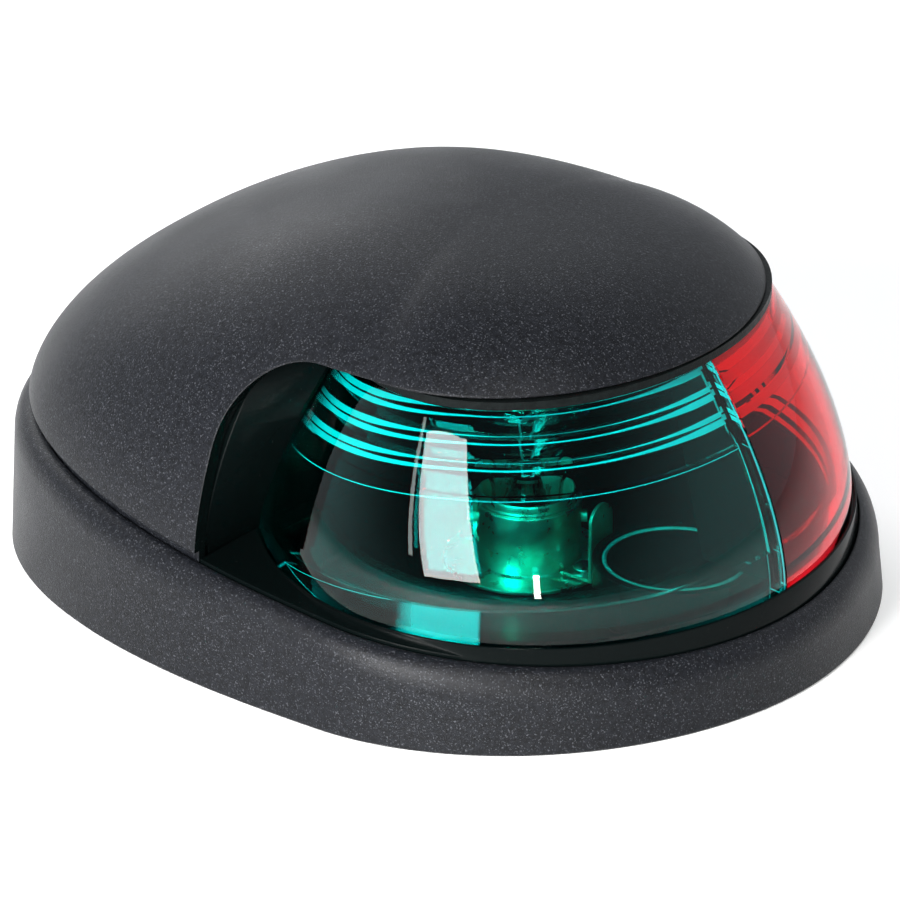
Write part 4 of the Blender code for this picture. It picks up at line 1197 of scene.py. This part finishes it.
@dataclass
class LensPair:
    """The green and red lenses: smooth outside, ribs, seam flange and foot flange inside."""

    finishes: Finishes
    columns: int = 120
    wall: float = 0.0022
    seam_gap: float = 0.0003
    rib_heights: tuple[float, ...] = (0.0473, 0.0438, 0.0403)
    rib_tall: float = 0.0023
    rib_deep: float = 0.00035
    line_height: float = 0.0366
    line_step: float = 0.00030
    foot_height: float = 0.0203
    foot_deep: float = 0.0011
    seam_wide: float = 0.0014
    seam_deep: float = 0.0014
    level_rows: int = 36
    step_height: float = 0.00006
    sharp: float = 24.0

    def wall_at(self, height: float) -> float:
        """Wall thickness at one height: thick foot, fine step line and three ribs.

        Args:
            height: Height above the deck.

        Returns:
            Thickness in metres.
        """
        thick = self.wall
        if height < self.foot_height:
            thick += self.foot_deep
        elif height > self.line_height:
            thick += self.line_step
        for centre in self.rib_heights:
            away = abs(height - centre)
            half = self.rib_tall / 2
            if away < half:
                thick += self.rib_deep * (1 - away / half)
        return thick

    def levels(self) -> list[float]:
        """Levels of the grid's rows: even, with extra rows at each step and rib.

        Returns:
            Shares of the way from the lowest seat to the top.
        """
        top = HULL.lens_top()
        low = HULL.lens_seat(HULL.lens_x + HULL.lens_half_length)
        marks = {i / self.level_rows for i in range(self.level_rows + 1)}
        edges = [self.foot_height, self.line_height]
        for centre in self.rib_heights:
            edges += [centre - self.rib_tall / 2, centre + self.rib_tall / 2]
        for edge in edges:
            for nudge in (-self.step_height, self.step_height):
                marks.add((edge + nudge - low) / (top - low))
        for centre in self.rib_heights:
            marks.add((centre - low) / (top - low))
        return sorted(m for m in marks if 0.0 <= m <= 1.0)

    def at(self, share: float, level: float, inward: float) -> Point:
        """A lens point whose level is a true height, clamped to the seat.

        Args:
            share: From 0 at the bow to 1 at the rear edge.
            level: From 0 to 1 between the lowest seat and the top.
            inward: Metres inside the outer surface.

        Returns:
            The point.
        """
        top = HULL.lens_top()
        low = HULL.lens_seat(HULL.lens_x + HULL.lens_half_length)
        height = low + (top - low) * level
        point = HULL.lens(share, 0.0, inward)
        rise = 0.0
        for _ in range(3):
            seat = HULL.lens_seat(point[0])
            rise = max(0.0, min(1.0, (height - seat) / (top - seat)))
            point = HULL.lens(share, rise, inward)
        return point

    def build_half(self, side: Side, name: str, slot: str, node: str) -> bpy.types.Object:
        """Make one coloured half.

        Args:
            side: Port or starboard.
            name: The piece's name.
            slot: The record's material slot.
            node: The solid that it stands for.

        Returns:
            The lens.
        """
        levels = self.levels()
        shares = [self.spread(i / self.columns) for i in range(self.columns + 1)]
        half_gap = self.seam_gap / 2
        rings = []
        for share in shares:
            outer, inner = [], []
            for level in levels:
                x, y, z = self.at(share, level, 0.0)
                outer.append((x, side.value * max(y, half_gap), z))
                thick = self.wall_at(z)
                if y < self.seam_wide:
                    thick = max(thick, self.wall + self.seam_deep)
                px, py, pz = self.at(share, level, thick)
                inner.append((px, side.value * max(py, half_gap), pz))
            rings.append(outer + list(reversed(inner)))
        lens = Mesher.loft(name, rings, sharp=self.sharp)
        bm = bmesh.new()
        bm.from_mesh(lens.data)
        bmesh.ops.remove_doubles(bm, verts=bm.verts, dist=2e-6)
        bmesh.ops.recalc_face_normals(bm, faces=bm.faces[:])
        bm.to_mesh(lens.data)
        bm.free()
        lens.data.shade_smooth()
        lens.data.set_sharp_from_angle(angle=math.radians(self.sharp))
        self.finishes.dress(lens, slot, "lens", [node])
        # The inner faces take the material with the painted highlights.
        lens.data.materials.append(self.finishes.ribbed[slot])
        for face in lens.data.polygons:
            x, y, z = face.center
            if face.normal.dot(Vector((x - HULL.lens_x, y, 0.012))) < 0.0:
                face.material_index = 1
        return lens

    def spread(self, share: float) -> float:
        """Columns, closer together next to the seam so that its flange is crisp."""
        return share * (0.55 + 0.45 * share)

    def build(self) -> None:
        """Make both halves."""
        self.build_half(Side.STARBOARD, "green_lens_shell", "green_lens", "lens_green")
        self.build_half(Side.PORT, "red_lens_shell", "red_lens", "lens_red")


# ---------------------------------------------------------------- lens frame


@dataclass
class LensFrame:
    """The glossy sill, the rear screen and the seal under the visor."""

    finishes: Finishes
    columns: int = 128
    rows: int = 32
    around: int = 160
    sill_lip: float = 0.0005
    sill_lip_width: float = 0.0004
    sill_width: float = 0.0040
    screen_thick: float = 0.0016
    shoulder: float = 0.0006
    wing: float = 0.0120
    bottom: float = 0.0062
    screen_foot: float = 0.0035
    rebate: float = 0.0023
    rebate_width: float = 0.0024
    cover_wall: float = 0.0026
    seal_proud: float = 0.0004
    seal_width: float = 0.0030

    def band(self, name: str, section: Callable[[float], Ring]) -> bpy.types.Object:
        """Loft a section along the lens from one rear edge to the other.

        Args:
            name: The piece's name.
            section: Gives the section's ring at a share of the way.

        Returns:
            The band.
        """
        return Mesher.loft(name, [section(i / self.columns) for i in range(-self.columns, self.columns + 1)])

    def sill(self) -> bpy.types.Object:
        """Make the sill that the lenses stand on.

        Returns:
            The sill.
        """
        gap = HULL.gap
        rear_x = HULL.opening_x + gap
        outer = HULL.rim_inset + gap
        depth = self.rebate - gap

        def section(share: float) -> Ring:
            """The sill's section at one place.

            Args:
                share: From -1 to 1 between the rear edges.

            Returns:
                The section's ring.
            """
            x, y = HULL.plan(HULL.end_angle(rear_x, outer) * share, outer)
            foot = HULL.rim_height(x)
            ring = [(x, y, foot - depth), (x, y, foot + self.sill_lip)]
            steps = (
                (gap + self.sill_lip_width, self.sill_lip),
                (gap, self.sill_lip),
                (gap, -gap),
                (-self.sill_width, -gap),
            )
            for outward, offset in steps:
                px, py, pz = HULL.lens(share, 0.0, -outward, gap)
                ring.append((px, py, pz + offset))
            px, py, _ = HULL.lens(share, 0.0, self.sill_width, gap)
            ring.append((px, py, HULL.rim_height(px) - depth))
            return ring

        return self.band("lens_sill", section)

    def screen(self) -> bpy.types.Object:
        """Make the leaning wall behind the lenses, trimmed to the inside of the cover.

        Returns:
            The wall.
        """
        gap = HULL.gap
        edges = [HULL.lens(1.0, row / self.rows, 0.0) for row in range(self.rows + 1)]
        x, y, _ = edges[0]
        edges.insert(0, (x, y, self.bottom - gap))
        x, y, z = edges[-1]
        above = HULL.visor - 2 * gap - z
        edges.append((x + HULL.screen_lean * above, y, z + above))
        rings = []
        for x, y, z in edges:
            middle = x - gap
            wing = min(middle, HULL.opening_x - gap)
            half = y + self.shoulder
            front = [
                (wing, -HULL.width),
                (wing, -half - self.wing),
                (middle, -half),
                (middle, half),
                (wing, half + self.wing),
                (wing, HULL.width),
            ]
            back = [(px - self.screen_thick, py) for px, py in reversed(front)]
            rings.append([(px, py, z) for px, py in front + back])
        screen = Mesher.loft("screen", rings)
        around = self.around
        inset = HULL.rim_inset + self.rebate_width + 2 * gap
        inward = self.cover_wall + gap
        room = [HULL.flat_ring(inset, self.bottom, around), HULL.rim_ring(inset, HULL.cover_lift, around)]
        for row in range(self.rows):
            reach = math.cos(math.pi / 2 * row / self.rows)
            room.append([HULL.dome(2 * math.pi * i / around, reach, inward) for i in range(around)])
        Mesher.cut(screen, [Mesher.loft("room", room)], "INTERSECT")
        return screen

    def build(self) -> None:
        """Make the frame and the seal."""
        gap = HULL.gap
        sill = self.sill()
        outer = HULL.rim_inset + gap
        rear_x = HULL.opening_x + gap
        depth = self.rebate - gap
        front = HULL.opening_x - gap
        half = HULL.plan(HULL.end_angle(rear_x, outer), outer)[1] - self.sill_width
        top = HULL.rim_height(rear_x)
        low, high = top - depth + gap, top - gap
        x0, x1 = front - self.screen_thick / 2, front + self.screen_foot
        foot = Mesher.prism("foot", [(x0, low), (x1, low), (x1, high), (x0, high)], half)
        Mesher.cut(sill, [self.screen(), foot], "UNION")
        sill.name = "lens_sill_and_screen"
        self.finishes.dress(sill, "gloss_black", "lens", ["lens_frame"])

        bottom = HULL.lens_top() + gap

        def seal_section(share: float) -> Ring:
            """The seal's section at one place.

            Args:
                share: From -1 to 1 between the rear edges.

            Returns:
                The section's ring.
            """
            out = HULL.lens(share, 1.0, -self.seal_proud, HULL.seal_height)
            back = HULL.lens(share, 1.0, self.seal_width, HULL.seal_height)
            top_z = bottom + HULL.seal_height
            corners_of = ((out, bottom), (out, top_z), (back, top_z), (back, bottom))
            return [(place[0], place[1], height) for place, height in corners_of]

        self.finishes.dress(self.band("visor_seal", seal_section), "black_rubber", "lens", ["lens_seal"])


# ---------------------------------------------------------------- socket and bulb


@dataclass
class ScrewPlug:
    """The round plug over the front screw, with a raised rounded rim whose top is painted lighter as a
    painted highlight.
    """

    finishes: Finishes
    centre: tuple[float, float] = (0.0435, 0.0)
    radius: float = 0.0110
    top: float = 0.0136
    thick: float = 0.0014
    bead: float = 0.00034
    bead_steps: int = 8

    def build(self) -> bpy.types.Object:
        """Make the plug.

        Returns:
            The plug.
        """
        profile = [(0.0, self.top - self.bead), (self.radius - 3 * self.bead, self.top - self.bead)]
        for step in range(self.bead_steps + 1):
            turn = math.pi * step / self.bead_steps
            spot = self.radius - self.bead * (1 + math.cos(turn))
            profile.append((spot, self.top - self.bead * (1 - math.sin(turn))))
        profile.append((self.radius, self.top - self.thick))
        profile.append((0.0, self.top - self.thick))
        plug = Mesher.turned("plug_with_rim", profile, self.centre, closed=False, sharp=50.0)
        self.finishes.dress(plug, "gloss_black", "base", ["screw_plug"])
        # The top of the rim bead takes the lighter painted-highlight finish.
        plug.data.materials.append(self.finishes.rim)
        for face in plug.data.polygons:
            x, y, z = face.center
            away = math.hypot(x - self.centre[0], y - self.centre[1])
            if away > self.radius - 2.2 * self.bead and z > self.top - self.bead * 0.99:
                face.material_index = 1
        return plug


@dataclass
class SocketGroup:
    """The bayonet socket with its collar, slots, rolled rim and flange."""

    finishes: Finishes
    x: float = 0.0158
    bore: float = 0.0078
    wall: float = 0.0004
    collar: float = 0.0003
    rim: float = 0.0160
    crease: float = 0.0098
    bottom: float = 0.0008
    flange: float = 0.0130
    flange_top: float = 0.0059
    pin_angle: float = math.radians(36.0)
    turn: float = math.radians(20.0)
    pin_height: float = 0.0127
    room: float = 0.0013
    travel: float = 0.0012
    rivet_circle: float = 0.0110
    rivet_hole: float = 0.0013
    above: float = 0.02
    spring_radius: float = 0.0022
    spring_wire: float = 0.00017
    spring_turns: float = 3.5
    flat_turn: float = 0.5
    turn_steps: int = 24

    def sector(self, name: str, start: float, end: float, low: float, high: float) -> bpy.types.Object:
        """A curved block across the socket's wall.

        Args:
            name: Its name.
            start: First angle in radians.
            end: Last angle in radians.
            low: Bottom height.
            high: Top height.

        Returns:
            The block.
        """
        inner, outer = self.bore - 0.0004, self.bore + 0.0011
        rings = []
        for step in range(13):
            angle = start + (end - start) * step / 12
            c, s = math.cos(angle), math.sin(angle)
            spots = ((inner, low), (outer, low), (outer, high), (inner, high))
            rings.append([(self.x + r * c, r * s, z) for r, z in spots])
        return Mesher.loft(name, rings)

    def build(self) -> bpy.types.Object:
        """Make the socket.

        Returns:
            The socket.
        """
        outer = self.bore + self.wall
        collar = outer + self.collar
        lip = self.bore - 0.0018
        profile = [
            (self.bore, self.rim - 0.0001),
            (self.bore + 0.0001, self.rim),
            (collar - 0.0001, self.rim),
            (collar, self.rim - 0.00015),
            (collar, self.crease + 0.0002),
            (collar - 0.0001, self.crease),
            (outer, self.crease - 0.00035),
            (outer, self.flange_top + 0.0003),
            (outer + 0.0003, self.flange_top),
            (self.flange - 0.0001, self.flange_top),
            (self.flange, self.flange_top - 0.0001),
            (self.flange, self.flange_top - 0.0005),
            (self.flange - 0.0001, self.flange_top - 0.0006),
            (outer, self.flange_top - 0.0006),
            (outer, self.bottom + 0.0003),
            (outer - 0.0003, self.bottom),
            (lip, self.bottom),
            (lip, self.bottom + self.wall),
            (self.bore, self.bottom + self.wall),
        ]
        shell = Mesher.turned("socket_body", profile, (self.x, 0.0))
        swing = self.room / self.bore
        cuts = []
        low, high = self.pin_height - self.travel - self.room, self.pin_height + self.room
        for number, start in enumerate((self.pin_angle, self.pin_angle + math.pi), 1):
            entry = start + self.turn
            cuts.append(self.sector(f"level_{number}", start - swing, entry + swing, low, high))
            top = self.rim + self.above
            cuts.append(self.sector(f"entry_{number}", entry - swing, entry + swing, self.pin_height, top))
        hole = [(0.0, self.above), (self.rivet_hole, self.above), (self.rivet_hole, 0.003), (0.0, 0.003)]
        for end, offset in (("fore", self.rivet_circle), ("aft", -self.rivet_circle)):
            place = (self.x + offset, 0.0)
            cuts.append(Mesher.turned(f"rivet_hole_{end}", hole, place, closed=False, steps=32))
        Mesher.cut(shell, cuts)
        self.spring()
        return self.finishes.dress(shell, "nickel_plate", "base", ["socket_shell"])

    def spring(self) -> bpy.types.Object:
        """Make the contact spring, wound with flat end turns, at one length; the real spring shortens as the
        bulb is pressed in.

        Returns:
            The spring.
        """
        foot, head = (corner[2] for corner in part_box("contact_spring"))
        low, high = foot + self.spring_wire, head - self.spring_wire
        turns = self.spring_turns + 2 * self.flat_turn
        count = int(turns * self.turn_steps)
        path = []
        for step in range(count + 1):
            wound = turns * step / count
            share = min(1.0, max(0.0, (wound - self.flat_turn) / self.spring_turns))
            angle = 2 * math.pi * wound
            path.append(
                (
                    self.x + self.spring_radius * math.cos(angle),
                    self.spring_radius * math.sin(angle),
                    low + (high - low) * share,
                )
            )
        coil = Mesher.wire("contact_spring_coil", path, self.spring_wire, 8)
        self.finishes.dress(coil, "spring_steel", "base", ["contact_spring"])
        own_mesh(coil)
        return coil


@dataclass
class BulbGroup:
    """The bulb: metal cap, clear globe, filament and its lead wires."""

    finishes: Finishes
    x: float = 0.0158
    cap_radius: float = 0.0075
    cap_wall: float = 0.00035
    cap_bottom: float = 0.0072
    cap_rim: float = 0.0176
    globe: float = 0.0092
    globe_z: float = 0.0318
    top: float = 0.0410
    glass: float = 0.0006
    lower: float = 0.0097
    neck: float = 0.00555
    neck_bottom: float = 0.00875
    side_steps: int = 36
    filament_z: float = 0.0310
    stem_top: float = 0.0205
    post: float = 0.0024
    lead: float = 0.0011
    coils: int = 9
    coil_steps: int = 96
    coil_radius: float = 0.00045
    coil_arch: float = 0.0012
    coil_wire: float = 0.00016

    def cap(self) -> bpy.types.Object:
        """Make the metal cap, with a rolled rim, a fine crimp line and a turned-in foot.

        Returns:
            The cap.
        """
        r, w = self.cap_radius, self.cap_wall
        profile = [
            (r - w, self.cap_rim - 0.00010),
            (r - w * 0.7, self.cap_rim),
            (r - w * 0.25, self.cap_rim),
            (r, self.cap_rim - 0.00025),
            (r, self.cap_rim - 0.00110),
            (r - 0.00012, self.cap_rim - 0.00125),
            (r - 0.00012, self.cap_rim - 0.00140),
            (r, self.cap_rim - 0.00155),
            (r, self.cap_bottom + 0.0004),
            (r - 0.0004, self.cap_bottom),
            (0.0050, self.cap_bottom),
            (0.0050, self.cap_bottom + w),
            (r - w, self.cap_bottom + w),
        ]
        return Mesher.turned("bulb_metal_cap", profile, (self.x, 0.0))

    def side(self, offset: float) -> list[tuple[float, float]]:
        """The globe's profile from its top to its neck.

        Args:
            offset: Metres inside the outer face.

        Returns:
            Radius and height pairs.
        """
        radius = self.globe - offset
        top = self.top - offset - self.globe_z
        points = [(0.0, self.globe_z + top)]
        for step in range(1, self.side_steps + 1):
            turn = math.pi / 2 - math.radians(126.0) * step / self.side_steps
            height = top if turn > 0 else self.lower
            points.append((radius * math.cos(turn), self.globe_z + height * math.sin(turn)))
        points.append((self.neck + 0.0003 - offset, self.cap_rim + 0.0015))
        points.append((self.neck - offset, self.cap_rim))
        points.append((self.neck - offset, self.neck_bottom))
        return points

    def build(self) -> None:
        """Make and dress the bulb's visible pieces."""
        dress = self.finishes.dress
        dress(self.cap(), "nickel_plate", "bulb", ["bulb_cap"])
        profile = self.side(0.0) + list(reversed(self.side(self.glass)))
        globe = Mesher.turned("bulb_globe", profile, (self.x, 0.0), closed=False)
        dress(globe, "clear_glass", "bulb", ["bulb_glass"])
        dress(self.filament(), "tungsten", "bulb", ["filament"])

    def filament(self) -> bpy.types.Object:
        """Make the filament, an arched coil between its two lead wires.

        Returns:
            The filament.
        """
        foot = self.stem_top + 0.0005
        path: list[Point] = [(self.x, -self.lead, foot), (self.x, -self.post, self.filament_z)]
        for step in range(1, self.coil_steps):
            share = step / self.coil_steps
            angle = 2 * math.pi * self.coils * share
            arc = math.sin(math.pi * share)
            swell = self.coil_radius * min(1.0, 4 * arc)
            across = -self.post + 2 * self.post * share
            height = self.filament_z + self.coil_arch * arc + swell * math.cos(angle) - swell
            path.append((self.x + swell * math.sin(angle), across, height))
        path += [(self.x, self.post, self.filament_z), (self.x, self.lead, foot)]
        return Mesher.wire("filament_coil", path, self.coil_wire)


# ---------------------------------------------------------------- studio


def heading(azimuth: float, elevation: float) -> Vector:
    """A direction from the light's middle.

    Args:
        azimuth: Degrees from the bow towards port.
        elevation: Degrees above the deck.

    Returns:
        The unit direction.
    """
    az, el = math.radians(azimuth), math.radians(elevation)
    return Vector((math.cos(el) * math.cos(az), math.cos(el) * math.sin(az), math.sin(el)))


@dataclass
class Panel:
    """One soft studio light, placed by its direction from the light's middle."""

    name: str
    azimuth: float
    elevation: float
    distance: float
    size: tuple[float, float]
    strength: float
    colour: Point = (1.0, 1.0, 1.0)
    roll: float = 0.0
    lean: float = 0.0

    def source(self) -> bpy.types.Object:
        """An area light, or a leaning glowing sheet where the panel isn't a rectangle.

        Returns:
            The lamp or sheet.
        """
        if not self.lean:
            light = bpy.data.lights.new(self.name, "AREA")
            light.shape = "RECTANGLE"
            light.size, light.size_y = self.size
            light.energy = self.strength * self.size[0] * self.size[1] * math.pi
            light.color = self.colour
            obj = bpy.data.objects.new(self.name, light)
            bpy.context.scene.collection.objects.link(obj)
            return obj
        bm = bmesh.new()
        across, tall = self.size[0] / 2, self.size[1] / 2
        corners_of = ((-across, -tall), (across, -tall), (across, tall), (-across, tall))
        bm.faces.new([bm.verts.new((x + self.lean * y, y, 0.0)) for x, y in corners_of])
        obj = Mesher.finish(self.name, bm)
        book = NodeBook(self.name)
        glow = book.add("ShaderNodeEmission")
        glow.inputs["Color"].default_value = (*self.colour, 1.0)
        glow.inputs["Strength"].default_value = self.strength
        book.join(glow.outputs[0], book.output.inputs["Surface"])
        obj.data.materials.append(book.material)
        obj.visible_camera = False
        return obj

    def build(self, aim: Vector) -> None:
        """Place the panel and point it at the object.

        Args:
            aim: The point that it faces.
        """
        away = heading(self.azimuth, self.elevation)
        obj = self.source()
        obj.location = aim + away * self.distance
        turn = away.to_track_quat("Z", "Y").to_matrix() @ Matrix.Rotation(math.radians(self.roll), 3, "Z")
        obj.rotation_euler = turn.to_euler()


@dataclass
class Studio:
    """The pale floor, soft lights and camera."""

    world: float = 0.95
    shade: float = 0.16
    sky: Point = (0.90, 0.94, 1.0)
    dim: tuple[float, float] = (-62.0, 42.0)
    aim: Point = (0.02, 0.0, 0.03)
    lens_mm: float = 351.15
    distance: float = 1.3559
    target: Point = (0.00107, 0.0, 0.01977)
    towards: Point = (0.5384, -0.7249, 0.4297)
    floor_glow: float = 0.20
    panels: list[Panel] = field(
        default_factory=lambda: [
            Panel("window_panel", -84.0, 18.0, 0.60, (0.27, 0.315), 29.0, roll=4.0, lean=-0.38),
            Panel("strip_panel", -103.0, 19.0, 0.60, (0.022, 0.26), 12.0, roll=4.0, lean=-0.38),
            Panel("key_panel", -41.0, 48.0, 0.70, (0.06, 0.09), 110.0, (1.0, 0.98, 0.92)),
            Panel("low_panel", -43.5, 4.0, 0.75, (0.030, 0.10), 150.0, (1.0, 0.97, 0.90)),
            Panel("top_panel", 159.0, 28.0, 0.90, (0.75, 0.36), 3.2),
        ]
    )

    def camera(self) -> None:
        """Place the camera: a long lens, low on the starboard bow."""
        data = bpy.data.cameras.new("camera")
        data.lens = self.lens_mm
        data.sensor_width = 36.0
        data.clip_start = 0.01
        camera = bpy.data.objects.new("camera", data)
        bpy.context.scene.collection.objects.link(camera)
        back = Vector(self.towards).normalized()
        camera.location = Vector(self.target) + back * self.distance
        camera.rotation_euler = back.to_track_quat("Z", "Y").to_euler()
        bpy.context.scene.camera = camera

    def backdrop(self) -> None:
        """Lay a wide pale floor."""
        bm = bmesh.new()
        bmesh.ops.create_grid(bm, x_segments=4, y_segments=4, size=6.0)
        floor = Mesher.finish("floor", bm)
        book = NodeBook("pale_floor")
        book.feed("Base Color", book.blend(book.remap(book.noise(0.15), 0.3, 0.7), (0.93,) * 3, (0.95,) * 3))
        book.set(Roughness=0.7, Emission_Color=(1.0, 1.0, 1.0, 1.0), Emission_Strength=self.floor_glow)
        floor.data.materials.append(book.material)

    def sky_dome(self) -> bpy.types.World:
        """Make the room's even light, dimmer in one direction.

        Returns:
            The world.
        """
        world = bpy.data.worlds.new("studio")
        world.use_nodes = True
        tree = world.node_tree
        sky = tree.nodes["Background"]
        sky.inputs["Color"].default_value = (*self.sky, 1.0)
        place = tree.nodes.new("ShaderNodeTexCoord")
        facing = tree.nodes.new("ShaderNodeVectorMath")
        facing.operation = "DOT_PRODUCT"
        facing.inputs[1].default_value = heading(*self.dim)
        tree.links.new(place.outputs["Generated"], facing.inputs[0])
        ramp = tree.nodes.new("ShaderNodeMapRange")
        ramp.interpolation_type = "SMOOTHSTEP"
        limits = {"From Min": 0.05, "From Max": 0.75, "To Min": self.world, "To Max": self.shade}
        for key, number in limits.items():
            ramp.inputs[key].default_value = number
        tree.links.new(facing.outputs["Value"], ramp.inputs["Value"])
        tree.links.new(ramp.outputs["Result"], sky.inputs["Strength"])
        return world

    def build(self) -> None:
        """Make the studio."""
        scene = bpy.context.scene
        scene.view_settings.view_transform = "Standard"
        scene.world = self.sky_dome()
        self.camera()
        self.backdrop()
        for panel in self.panels:
            panel.build(Vector(self.aim))


# ---------------------------------------------------------------- whole light


def main() -> None:
    """Build the studio and every sub-assembly, and give the solids that stay in view their finishes."""
    logging.basicConfig(level=logging.INFO, format="%(name)s: %(message)s")
    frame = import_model()
    Studio().build()
    finishes = Finishes()
    BaseShell(finishes).build()
    CoverShell(finishes).build()
    LensPair(finishes).build()
    LensFrame(finishes).build()
    ScrewPlug(finishes).build()
    SocketGroup(finishes).build()
    BulbGroup(finishes).build()
    slots = {part["node"]: part["material_slot"] for part in frame["record"]["subparts"]}
    for node, obj in frame["nodes"].items():
        if not obj.hide_render:
            finishes.repaint(node, obj, slots[node])


if __name__ == "__main__":
    main()
